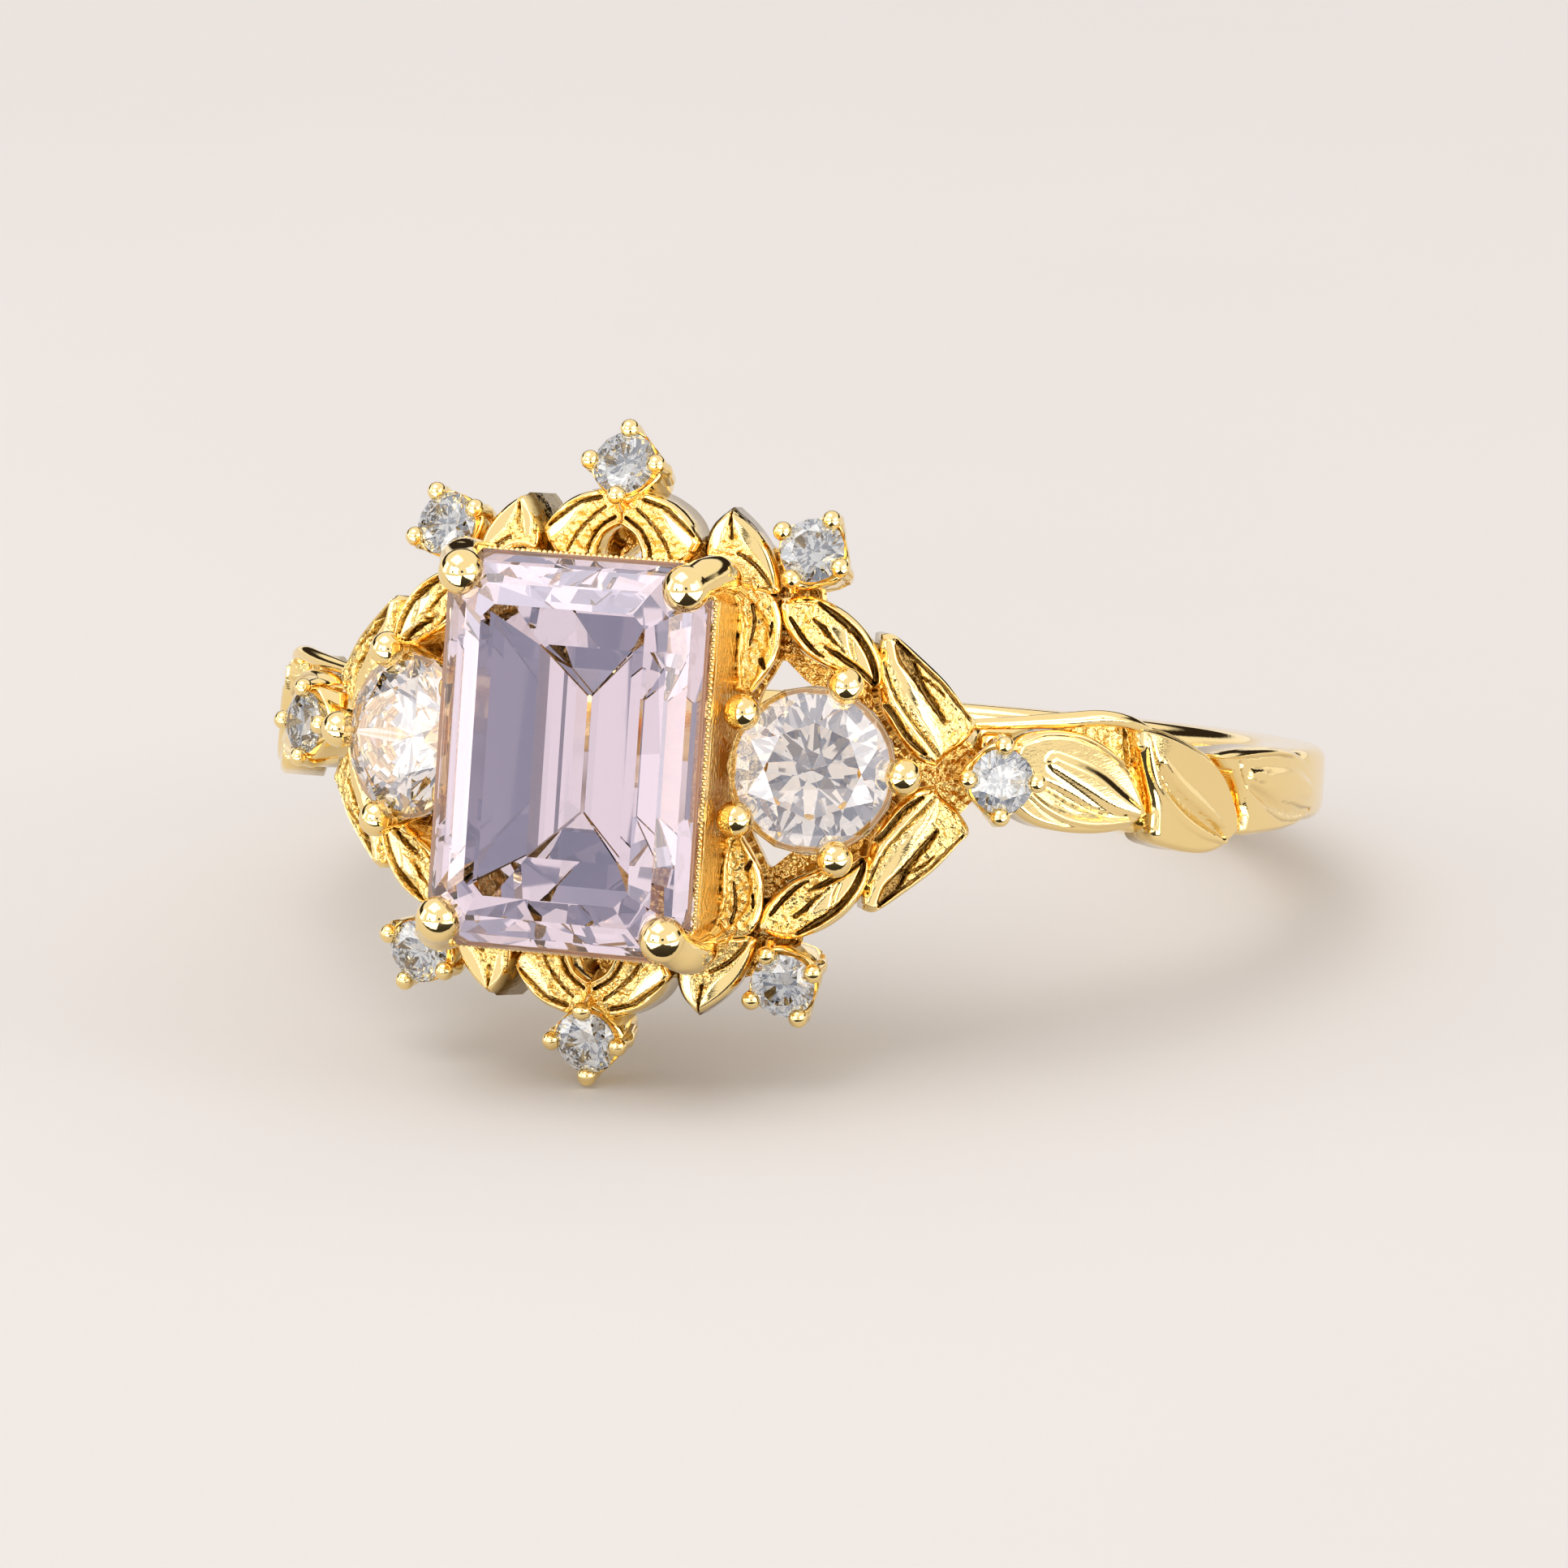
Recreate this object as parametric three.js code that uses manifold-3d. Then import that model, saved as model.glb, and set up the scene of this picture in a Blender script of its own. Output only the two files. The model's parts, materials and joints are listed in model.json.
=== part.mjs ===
// Engagement ring with a leaf halo: an emerald-cut centre stone, two round side stones and eight small
// accents, on a gold head that curves round the finger, with three relief leaves on each shoulder.
// Units are millimetres. The ring is built in its own frame, with the finger axis along Z and the head
// facing -Y, and is then leaned back onto the surface it lies on, which is at Z = 0.
import * as THREE from "three";
import { mergeVertices } from "three/addons/utils/BufferGeometryUtils.js";
import Module from "manifold-3d";

// ---------------------------------------------------------------- driving dimensions
const FINGER_RADIUS = 8.45; // US size 6 1/2
const MAP_RADIUS = 10.0; // the radius on which the leaf outlines are drawn, flat

// Each step of the centre stone is a share of the crown's or pavilion's depth, and the share of the half
// width that is cut away there.
const CENTRE_STONE = {
  width: 5.0,
  length: 7.0,
  corner: 0.62,
  cornerTaper: 0.4,
  leastCorner: 0.04,
  crown: 0.68,
  girdle: 0.1,
  pavilion: 2.9,
  crownSteps: [[1, 0.38], [0.55, 0.168]],
  pavilionSteps: [[0.45, 0.33], [0.8, 0.7], [1, 0.976]],
};
const CENTRE_GIRDLE_RADIUS = 11.62; // from the finger axis to the middle of the girdle
const BRILLIANT = { pavilion: 0.86, crown: 0.3, table: 0.57, girdle: 0.04 }; // shares of the stone's radius
const SIDE_STONE = { diameter: 3.0, sides: 14 };
const SIDE_SEAT = { across: 3.86, radius: 10.54 };
const ACCENT_STONE = { diameter: 1.15, sides: 8 };

// Where each accent sits: along and up the head, its face tilted up and turned to the middle, in degrees.
const ACCENT_SEATS = {
  north: { along: 0, height: 5.16, radius: 9.98, tilt: 20 },
  south: { along: 0, height: -5.16, radius: 9.98, tilt: -20 },
  east: { along: 6.75, height: 0, radius: 10.48, yaw: -6 },
  west: { along: -6.75, height: 0, radius: 10.48, yaw: 6 },
  north_east: { along: 3.5, height: 3.84, radius: 10.2, tilt: 15, yaw: -12, turn: -28 },
  north_west: { along: -3.5, height: 3.84, radius: 10.2, tilt: 15, yaw: 12, turn: 28 },
  south_east: { along: 3.5, height: -3.84, radius: 10.2, tilt: -15, yaw: -12, turn: 28 },
  south_west: { along: -3.5, height: -3.84, radius: 10.2, tilt: -15, yaw: 12, turn: -28 },
};

const CUP = { corner: 0.84, foot: 0.44, depth: 1.12, drop: 0.1 };
const CUP_CLAW = { count: 4, ball: 0.19, reach: 0.64, rise: 0.04 };
const CUP_BORE = { rim: 0.46, foot: 0.3, depth: 0.86, sides: 6 };
const COLLET = { rim: 1.42, foot: 1.12, wall: 0.22, drop: 0.12, depth: 1.6, sides: 16 };
const SIDE_CLAW = { count: 5, ball: 0.33, arm: 0.2, reach: 1.62, rise: 0.2, depth: 1.35 };
const BASKET = { wall: 0.34, taper: 0.34, drop: 0.1, foot: 9.05 };
const CENTRE_CLAW = {
  ball: 0.42,
  arm: 0.27,
  tip: { across: 2.24, height: 3.22, rise: 0.36 },
  bend: { across: 2.5, height: 3.46, rise: -0.2 },
  root: { across: 2.22, height: 3.32, rise: -1.48 },
};
// Sides and rings of each kind of ball.
const CLAW_FACETS = { small: [6, 4], side: [6, 5], centre: [8, 6], elbow: [8, 4] };

const GALLERY = { inner: FINGER_RADIUS, outer: 8.95, bevel: 0 };
const LEAF = { inner: 9.0, outer: 10.0, bevel: 0.07 };
const SHANK_LEAF = { inner: 9.36, outer: 9.9, bevel: 0.07 };
// The angles are degrees round the finger from the middle of the head.
const SHANK = {
  inner: FINGER_RADIUS,
  outer: 9.2,
  backOuter: 9.62,
  start: 42.4,
  shoulderWidth: 1.9,
  backWidth: 1.4,
  narrowing: [65, 90],
  thickening: [100, 106],
  segments: 43,
};
const FIT = 0.03; // clearance between a stone and its seat

// Leaf outlines of one quarter of the head, and of one shoulder, as [along, height] on the map radius.
// Each goes from its first point to its tip by one edge, and back by the other.
const HEAD_LEAVES = {
  v_leaf: {
    out: [[0.07, 4.4], [0.45, 4.6], [0.95, 4.42], [1.3, 4.15], [1.48, 3.8]],
    back: [[1.48, 3.8], [1.15, 3.42], [0.75, 3.42], [0.35, 3.8], [0.07, 4.05]],
  },
  point_leaf: {
    out: [[1.62, 3.42], [1.6, 3.9], [1.75, 4.25], [2.02, 4.5]],
    back: [[2.02, 4.5], [2.42, 4.2], [2.76, 3.75], [2.94, 3.08], [2.5, 3.1]],
  },
  inner_leaf: {
    out: [[2.42, 2.9], [2.72, 3.02], [2.96, 2.86], [2.99, 2.45], [2.86, 1.95], [2.58, 1.4]],
    back: [[2.58, 1.4], [2.38, 1.65], [2.38, 2.3], [2.42, 2.9]],
  },
  arm_leaf: {
    out: [[3.06, 2.86], [3.6, 2.94], [4.15, 2.74], [4.6, 2.38], [4.83, 1.95], [4.83, 1.5]],
    back: [[4.83, 1.5], [4.45, 1.58], [4.05, 1.78], [3.5, 2.16], [3.07, 2.5]],
  },
  shoulder_leaf: {
    out: [[4.92, 2.5], [5.5, 2.2], [6.1, 1.68], [6.62, 1.02], [6.5, 0.72], [6.12, 0.42], [5.86, 0.14]],
    back: [[5.86, 0.14], [5.6, 0.5], [5.3, 0.98], [4.96, 1.45], [4.92, 2.0]],
  },
};
const SHOULDER_LEAVES = [
  {
    out: [
      [7.67, 0.25], [7.7, 0.66], [8.1, 0.88], [8.8, 0.86],
      [9.3, 0.7], [9.75, 0.4], [10.05, 0.0], [10.32, -0.5],
    ],
    back: [[10.32, -0.5], [9.9, -0.76], [9.2, -0.88], [8.4, -0.84], [7.82, -0.66], [7.67, -0.2]],
  },
  {
    out: [
      [10.2, 1.05], [10.8, 0.96], [11.5, 0.75], [12.0, 0.48],
      [12.5, 0.08], [12.9, -0.45], [12.95, -0.85],
    ],
    back: [
      [12.95, -0.85], [12.4, -1.12], [11.7, -1.16], [11.1, -1.06],
      [10.7, -0.8], [10.5, -0.3], [10.25, 0.3],
    ],
  },
  {
    out: [[12.45, 0.56], [13.1, 0.67], [14.0, 0.71], [15.0, 0.64], [15.9, 0.42], [16.7, -0.1]],
    back: [
      [16.7, -0.1], [16.3, -0.52], [15.4, -0.72], [14.4, -0.82],
      [13.35, -0.82], [13.25, -0.4], [12.9, 0.15],
    ],
  },
];

// The gallery's outline and its windows, for one quarter of the head.
const GALLERY_EDGE = [
  [0, 4.55], [0.6, 4.4], [1.5, 3.95], [2.1, 4.2], [2.8, 3.8], [3.4, 3.85], [3.75, 3.5],
  [3.9, 2.85], [4.5, 2.4], [5.3, 2.05], [6.3, 1.2], [7.1, 0.4], [7.28, 0],
];
const CENTRE_WINDOW = [[0, 3.75], [0.4, 3.45], [1.0, 3.1], [1.75, 2.9], [1.9, 2.3], [1.9, 1.2], [1.9, 0]];
const SIDE_WINDOW = [
  [2.6, 0], [2.55, 0.7], [2.66, 1.2], [2.9, 1.6], [3.08, 1.84],
  [3.3, 1.7], [3.62, 1.46], [4.2, 1.2], [4.7, 0.8], [4.95, 0],
];
const OUTLINE_POINTS = 1.8; // points drawn along a smooth outline for each point given

const GOLD = { color: 0xe2b04a, metalness: 0.95, roughness: 0.22 };
const SATIN_GOLD = { color: 0xd9a441, metalness: 0.9, roughness: 0.45 };
const LILAC_STONE = { color: 0xe3c3da, metalness: 0, roughness: 0.05 };
const BLUSH_STONE = { color: 0xf6e6e2, metalness: 0, roughness: 0.05 };
const GREY_STONE = { color: 0xc9ced6, metalness: 0, roughness: 0.05 };

// ---------------------------------------------------------------- helpers
const wasm = await Module();
wasm.setup();
const degrees = THREE.MathUtils.degToRad;

// Moves each vertex to where `place` says, given its present position.
function reshape(geometry, place) {
  const position = geometry.getAttribute("position");
  const point = new THREE.Vector3();
  for (let i = 0; i < position.count; i++) {
    point.fromBufferAttribute(position, i);
    place(point);
    position.setXYZ(i, point.x, point.y, point.z);
  }
  return geometry;
}

function toSolid(geometry) {
  const bare = geometry.clone();
  bare.deleteAttribute("normal");
  bare.deleteAttribute("uv");
  const merged = mergeVertices(bare, 1e-4);
  return new wasm.Manifold(
    new wasm.Mesh({
      numProp: 3,
      vertProperties: new Float32Array(merged.getAttribute("position").array),
      triVerts: new Uint32Array(merged.index.array),
    }),
  );
}

function toGeometry(solid) {
  const mesh = solid.getMesh();
  const geometry = new THREE.BufferGeometry();
  geometry.setAttribute("position", new THREE.BufferAttribute(new Float32Array(mesh.vertProperties), 3));
  geometry.setIndex(new THREE.BufferAttribute(new Uint32Array(mesh.triVerts), 1));
  geometry.computeVertexNormals();
  return geometry;
}

function named(name, geometry, look) {
  const mesh = new THREE.Mesh(geometry, new THREE.MeshStandardMaterial(look));
  mesh.name = name;
  return mesh;
}

// A closed shape that goes through the points `out`, turns sharply, and comes back through `back`.
function leafShape({ out, back }) {
  const vectors = (list) => list.map(([x, y]) => new THREE.Vector2(x, y));
  const shape = new THREE.Shape();
  shape.moveTo(...out[0]);
  shape.splineThru(vectors(out.slice(1)));
  shape.splineThru(vectors(back.slice(1)));
  shape.closePath();
  return shape;
}

// Mirrors a leaf's edges to another quarter of the head.
function mirrored(edges, alongSign, heightSign) {
  const flip = (list) => list.map(([along, height]) => [along * alongSign, height * heightSign]);
  return { out: flip(edges.out), back: flip(edges.back) };
}

// Wraps a flat piece round the finger axis: x runs round the map radius, y is the height, z is the radius.
function wrap(geometry) {
  return reshape(geometry, (p) => {
    const angle = p.x / MAP_RADIUS;
    p.set(p.z * Math.sin(angle), -p.z * Math.cos(angle), p.y);
  });
}

function wrappedPlate(shape, { inner, outer, bevel }, curveSegments) {
  const flat = new THREE.ExtrudeGeometry(shape, {
    depth: outer - inner - 2 * bevel,
    bevelEnabled: bevel > 0,
    bevelThickness: bevel,
    bevelSize: bevel,
    bevelOffset: -bevel,
    bevelSegments: 1,
    curveSegments,
  });
  flat.translate(0, 0, inner + bevel);
  return toGeometry(toSolid(wrap(flat)));
}

// A group whose +Z points out from the finger and whose +Y points up the finger axis.
function seat({ along, height, radius, tilt = 0, yaw = 0, turn = 0 }) {
  const azimuth = Math.asin(along / radius);
  const place = new THREE.Group();
  place.position.set(along, -radius * Math.cos(azimuth), height);
  const facing = azimuth + degrees(yaw);
  const outward = new THREE.Vector3(Math.sin(facing), -Math.cos(facing), 0);
  outward.multiplyScalar(Math.cos(degrees(tilt))).setZ(Math.sin(degrees(tilt)));
  const side = new THREE.Vector3(0, 0, 1).cross(outward).normalize();
  const up = outward.clone().cross(side);
  place.quaternion.setFromRotationMatrix(new THREE.Matrix4().makeBasis(side, up, outward));
  place.rotateZ(degrees(turn));
  return place;
}

// A surface of revolution about +Z from [radius, height] points that start and end on the axis, lowest first.
function turned(points, sides) {
  const profile = points.map(([radius, height]) => new THREE.Vector2(radius, height));
  return new THREE.LatheGeometry(profile, sides).rotateX(Math.PI / 2);
}

function rod(from, to, radius, sides) {
  const start = new THREE.Vector3(...from);
  const end = new THREE.Vector3(...to);
  const length = start.distanceTo(end);
  const direction = end.clone().sub(start).normalize();
  const turn = new THREE.Quaternion().setFromUnitVectors(new THREE.Vector3(0, 1, 0), direction);
  return new THREE.CylinderGeometry(radius, radius, length, sides)
    .applyQuaternion(turn)
    .translate(...start.add(end).multiplyScalar(0.5).toArray());
}

function ball(centre, radius, sides, rings) {
  return new THREE.SphereGeometry(radius, sides, rings).rotateX(Math.PI / 2).translate(...centre);
}

// ---------------------------------------------------------------- stones
// Round brilliant: girdle at z = 0, table up. `grow` makes the tool that cuts its seat.
function brilliant({ diameter, sides }, grow = 0) {
  const radius = diameter / 2;
  const girdle = radius * BRILLIANT.girdle;
  const top = radius * BRILLIANT.crown + grow;
  const profile = [
    [0, -radius * BRILLIANT.pavilion - grow],
    [radius + grow, -girdle],
    [radius + grow, girdle],
    [radius * BRILLIANT.table + grow, top],
    [0, top],
  ];
  return turned(profile, sides);
}

// Emerald cut: an octagon that steps in towards the table and towards a short keel.
function emeraldCut(grow = 0) {
  const { crown, girdle, pavilion, crownSteps, pavilionSteps } = CENTRE_STONE;
  const halfWidth = CENTRE_STONE.width / 2 + grow;
  const halfLength = CENTRE_STONE.length / 2 + grow;
  const above = crownSteps.map(([share, inset]) => [girdle / 2 + crown * share + grow, inset]);
  const below = pavilionSteps.map(([share, inset]) => [-pavilion * share - grow, inset]);
  const levels = [...above, [girdle / 2, 0], [-girdle / 2, 0], ...below];
  const steps = levels.map(([z, inset]) => ({ z, inset: inset * halfWidth }));
  const body = new THREE.CylinderGeometry(1, 1, steps.length - 1, 8, steps.length - 1);
  return reshape(body, (p) => {
    const step = steps[Math.round((steps.length - 1) / 2 - p.y)];
    const onAxis = Math.hypot(p.x, p.z) < 0.5;
    const sector = Math.round(Math.atan2(p.x, p.z) / (Math.PI / 4));
    const angle = (sector + 0.5) * (Math.PI / 4);
    const shrunk = CENTRE_STONE.corner - step.inset * CENTRE_STONE.cornerTaper;
    const cut = Math.max(shrunk, CENTRE_STONE.leastCorner);
    const x = Math.sign(Math.sin(angle)) * (halfWidth - step.inset);
    const y = -Math.sign(Math.cos(angle)) * (halfLength - step.inset);
    const onLongSide = Math.abs(Math.sin(angle)) > Math.SQRT1_2;
    if (onAxis) p.set(0, 0, step.z);
    else if (onLongSide) p.set(x, y - Math.sign(y) * cut, step.z);
    else p.set(x - Math.sign(x) * cut, y, step.z);
  });
}

// ---------------------------------------------------------------- settings
// Square cup on its corner, with a ball claw at each corner, cut to the stone.
function accentCup() {
  const { corner, foot, depth, drop } = CUP;
  const cup = new THREE.CylinderGeometry(corner, foot, depth, 4)
    .rotateX(Math.PI / 2)
    .translate(0, 0, -drop - depth / 2);
  let solid = toSolid(cup);
  for (let i = 0; i < CUP_CLAW.count; i++) {
    const angle = (i * 2 * Math.PI) / CUP_CLAW.count;
    const centre = [CUP_CLAW.reach * Math.cos(angle), CUP_CLAW.reach * Math.sin(angle), CUP_CLAW.rise];
    solid = solid.add(toSolid(ball(centre, CUP_CLAW.ball, ...CLAW_FACETS.small)));
  }
  const { rim: boreRim, foot: boreFoot, depth: boreDepth } = CUP_BORE;
  const bore = turned([[0, -boreDepth], [boreFoot, -boreDepth], [boreRim, 0], [0, 0]], CUP_BORE.sides);
  const stoneTool = toSolid(brilliant(ACCENT_STONE, FIT));
  return toGeometry(solid.subtract(stoneTool).subtract(toSolid(bore)));
}

// Round tapered collet, open underneath, with claws that rise from its wall and end in balls over the girdle.
function sideCollet(inward) {
  const { rim, foot, wall, drop, depth, sides } = COLLET;
  const outside = turned([[0, -depth], [foot, -depth], [rim, -drop], [0, -drop]], sides);
  const throughFoot = -depth - wall;
  const hollow = turned(
    [[0, throughFoot], [foot - wall, throughFoot], [foot - wall, -depth], [rim - wall, 0], [0, 0]],
    sides,
  );
  let solid = toSolid(outside).subtract(toSolid(hollow));
  for (let i = 0; i < SIDE_CLAW.count; i++) {
    const angle = (i * 2 * Math.PI) / SIDE_CLAW.count + (inward ? 0 : Math.PI);
    const { ball: radius, arm, reach, rise, depth: armDepth } = SIDE_CLAW;
    const tip = [reach * Math.cos(angle), reach * Math.sin(angle), rise];
    const root = [foot * Math.cos(angle), foot * Math.sin(angle), -armDepth];
    solid = solid.add(toSolid(rod(root, tip, arm, CLAW_FACETS.side[0])));
    solid = solid.add(toSolid(ball(tip, radius, ...CLAW_FACETS.side)));
  }
  return toGeometry(solid.subtract(toSolid(brilliant(SIDE_STONE, FIT))));
}

// The rectangle with cut corners that the centre stone and its basket share.
function cutRectangle(halfWidth, halfLength, corner) {
  const shape = new THREE.Shape();
  shape.moveTo(halfWidth - corner, -halfLength);
  shape.lineTo(halfWidth, -halfLength + corner);
  shape.lineTo(halfWidth, halfLength - corner);
  shape.lineTo(halfWidth - corner, halfLength);
  shape.lineTo(-halfWidth + corner, halfLength);
  shape.lineTo(-halfWidth, halfLength - corner);
  shape.lineTo(-halfWidth, -halfLength + corner);
  shape.lineTo(-halfWidth + corner, -halfLength);
  shape.closePath();
  return shape;
}

// Box collet under the girdle, narrower at its foot, with its seat cut to the stone.
function centreBasket() {
  const { wall, taper, drop, foot } = BASKET;
  const { width, length, corner } = CENTRE_STONE;
  const depth = CENTRE_GIRDLE_RADIUS - drop - foot;
  const outline = cutRectangle(width / 2, length / 2, corner);
  outline.holes.push(cutRectangle(width / 2 - wall, length / 2 - wall, corner - wall / 3));
  const box = new THREE.ExtrudeGeometry(outline, { depth, bevelEnabled: false });
  box.translate(0, 0, -drop - depth);
  reshape(box, (p) => {
    const below = -(p.z + drop) / depth;
    p.x -= Math.sign(p.x) * taper * below;
    p.y -= Math.sign(p.y) * taper * below;
  });
  return toGeometry(toSolid(box).subtract(toSolid(emeraldCut(FIT))));
}

// Claw at one corner of the basket: an arm that leans in over the corner and ends in a ball.
function centreClaw(acrossSign, heightSign) {
  const place = ({ across, height, rise }) => [acrossSign * across, heightSign * height, rise];
  const tip = place(CENTRE_CLAW.tip);
  const bend = place(CENTRE_CLAW.bend);
  const root = place(CENTRE_CLAW.root);
  const sides = CLAW_FACETS.elbow[0];
  const upper = toSolid(rod(bend, tip, CENTRE_CLAW.arm, sides));
  const lower = toSolid(rod(root, bend, CENTRE_CLAW.arm, sides));
  const elbow = toSolid(ball(bend, CENTRE_CLAW.arm, ...CLAW_FACETS.elbow));
  return toSolid(ball(tip, CENTRE_CLAW.ball, ...CLAW_FACETS.centre)).add(upper).add(elbow).add(lower);
}

// ---------------------------------------------------------------- gallery, leaves and band
// Points along a smooth line through one quarter's [along, height] list.
function smoothLine(points) {
  const line = new THREE.SplineCurve(points.map(([along, height]) => new THREE.Vector2(along, height)));
  return line.getPoints(Math.round(points.length * OUTLINE_POINTS)).map((p) => [p.x, p.y]);
}

// A closed outline that is the same in all four quarters, from the quarter that starts at the top.
function quartersOutline(quarter) {
  const line = smoothLine(quarter);
  const flipped = (alongSign, heightSign) => {
    return line.map(([along, height]) => [along * alongSign, height * heightSign]);
  };
  const around = [
    ...flipped(1, 1),
    ...flipped(1, -1).reverse().slice(1),
    ...flipped(-1, -1).slice(1),
    ...flipped(-1, 1).reverse().slice(1, -1),
  ];
  return around.reverse().map(([along, height]) => new THREE.Vector2(along, height));
}

// The window under a side stone, mirrored about the middle of the head.
function sideWindow(sign) {
  const line = smoothLine(SIDE_WINDOW);
  const points = (list, heightSign) => {
    return list.map(([along, height]) => new THREE.Vector2(along * sign, height * heightSign));
  };
  return new THREE.Path([...points(line, 1), ...points(line.slice(1, -1).reverse(), -1)]);
}

function gallery() {
  const plate = new THREE.Shape(quartersOutline(GALLERY_EDGE));
  plate.holes.push(new THREE.Path(quartersOutline(CENTRE_WINDOW)), sideWindow(1), sideWindow(-1));
  return wrappedPlate(plate, GALLERY, 1);
}

// Band from one shoulder round the back to the other. It is flat-sided. The shoulders are wider, and are
// thinner where the leaves lie on them.
function shank() {
  const { inner, outer, backOuter, shoulderWidth, backWidth } = SHANK;
  const from = degrees(SHANK.start - 90);
  const to = degrees(270 - SHANK.start);
  const arc = new THREE.Shape();
  arc.absarc(0, 0, outer, from, to, false);
  arc.absarc(0, 0, inner, to, from, true);
  arc.closePath();
  const band = new THREE.ExtrudeGeometry(arc, { depth: 1, bevelEnabled: false, curveSegments: SHANK.segments });
  reshape(band, (p) => {
    const azimuth = Math.abs(Math.atan2(p.x, -p.y));
    const narrowed = THREE.MathUtils.smoothstep(azimuth, ...SHANK.narrowing.map(degrees));
    const width = THREE.MathUtils.lerp(shoulderWidth, backWidth, narrowed);
    if (Math.hypot(p.x, p.y) > (inner + outer) / 2) {
      const thickened = THREE.MathUtils.smoothstep(azimuth, ...SHANK.thickening.map(degrees));
      const radius = THREE.MathUtils.lerp(outer, backOuter, thickened);
      p.multiplyScalar(radius / Math.hypot(p.x, p.y)).setZ(p.z > 0.5 ? 1 : 0);
    }
    p.z = (p.z - 0.5) * width;
  });
  return toGeometry(toSolid(band));
}

// ---------------------------------------------------------------- the ring
const ring = new THREE.Group();
const SIDES = { right: 1, left: -1 };
const QUARTERS = {
  upper_right: [1, 1],
  upper_left: [-1, 1],
  lower_right: [1, -1],
  lower_left: [-1, -1],
};

ring.add(named("shank", shank(), GOLD));
ring.add(named("gallery", gallery(), GOLD));

for (const [quarter, signs] of Object.entries(QUARTERS)) {
  for (const [leaf, edges] of Object.entries(HEAD_LEAVES)) {
    const plate = wrappedPlate(leafShape(mirrored(edges, ...signs)), LEAF, 2);
    ring.add(named(`${leaf}_${quarter}`, plate, SATIN_GOLD));
  }
}

for (const [side, sign] of Object.entries(SIDES)) {
  SHOULDER_LEAVES.forEach((edges, i) => {
    const plate = wrappedPlate(leafShape(mirrored(edges, sign, 1)), SHANK_LEAF, 1);
    ring.add(named(`shank_leaf_${side}_${i + 1}`, plate, SATIN_GOLD));
  });
  const place = seat({ along: sign * SIDE_SEAT.across, height: 0, radius: SIDE_SEAT.radius });
  place.add(named(`side_collet_${side}`, sideCollet(sign > 0), GOLD));
  place.add(named(`side_stone_${side}`, toGeometry(toSolid(brilliant(SIDE_STONE))), BLUSH_STONE));
  ring.add(place);
}

for (const [point, where] of Object.entries(ACCENT_SEATS)) {
  const place = seat(where);
  place.add(named(`accent_cup_${point}`, accentCup(), GOLD));
  place.add(named(`accent_stone_${point}`, toGeometry(toSolid(brilliant(ACCENT_STONE))), GREY_STONE));
  ring.add(place);
}

const centre = seat({ along: 0, height: 0, radius: CENTRE_GIRDLE_RADIUS });
const stoneTool = toSolid(emeraldCut(FIT));
const basket = centreBasket();
const basketTool = toSolid(basket);
centre.add(named("centre_stone", toGeometry(toSolid(emeraldCut())), LILAC_STONE));
centre.add(named("centre_basket", basket, GOLD));
for (const [quarter, signs] of Object.entries(QUARTERS)) {
  const claw = centreClaw(...signs).subtract(stoneTool).subtract(basketTool);
  centre.add(named(`centre_claw_${quarter}`, toGeometry(claw), GOLD));
}
ring.add(centre);

// ---------------------------------------------------------------- resting place
// Laid on a surface, the ring touches it with the bottom of the head and the back of the band. `lean` is the
// angle at which both are equally low. It is found by ever smaller steps.
const FIRST_STEP = 20;
const LAST_STEP = 0.001;

function lowest(angle, front) {
  const point = new THREE.Vector3();
  let low = Infinity;
  ring.traverse((piece) => {
    if (!piece.isMesh) return;
    const position = piece.geometry.getAttribute("position");
    for (let i = 0; i < position.count; i++) {
      point.fromBufferAttribute(position, i).applyMatrix4(piece.matrixWorld);
      if (point.y < 0 === front) low = Math.min(low, point.z * Math.cos(angle) - point.y * Math.sin(angle));
    }
  });
  return low;
}

ring.updateMatrixWorld(true);
let lean = 0;
for (let step = degrees(FIRST_STEP); step > degrees(LAST_STEP); step /= 2) {
  if (lowest(lean + step, false) > lowest(lean + step, true)) lean += step;
}

ring.rotation.x = -lean;
const lying = new THREE.Box3().setFromObject(ring, true);
ring.position.set(0, -(lying.min.y + lying.max.y) / 2, -lying.min.z);
const engagementRing = new THREE.Group();
engagementRing.add(ring);

export default engagementRing;
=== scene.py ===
import json
import math
from bisect import bisect_right

import bmesh
import bpy
import numpy as np
from mathutils import Matrix, Vector, noise


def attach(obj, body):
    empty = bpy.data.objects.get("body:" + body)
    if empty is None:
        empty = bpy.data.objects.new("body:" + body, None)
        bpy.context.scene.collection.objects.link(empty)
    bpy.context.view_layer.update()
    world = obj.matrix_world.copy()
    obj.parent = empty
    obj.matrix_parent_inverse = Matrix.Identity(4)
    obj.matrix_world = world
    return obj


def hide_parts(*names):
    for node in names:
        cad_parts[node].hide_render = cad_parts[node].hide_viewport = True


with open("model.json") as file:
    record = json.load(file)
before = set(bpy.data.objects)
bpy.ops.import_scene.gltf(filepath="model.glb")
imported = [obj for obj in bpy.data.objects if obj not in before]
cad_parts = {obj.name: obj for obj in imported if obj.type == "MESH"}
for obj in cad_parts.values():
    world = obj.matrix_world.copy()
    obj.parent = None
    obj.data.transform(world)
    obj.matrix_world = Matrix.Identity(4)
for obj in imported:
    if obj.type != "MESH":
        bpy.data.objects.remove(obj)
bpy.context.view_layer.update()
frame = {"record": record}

scene = bpy.context.scene

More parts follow.
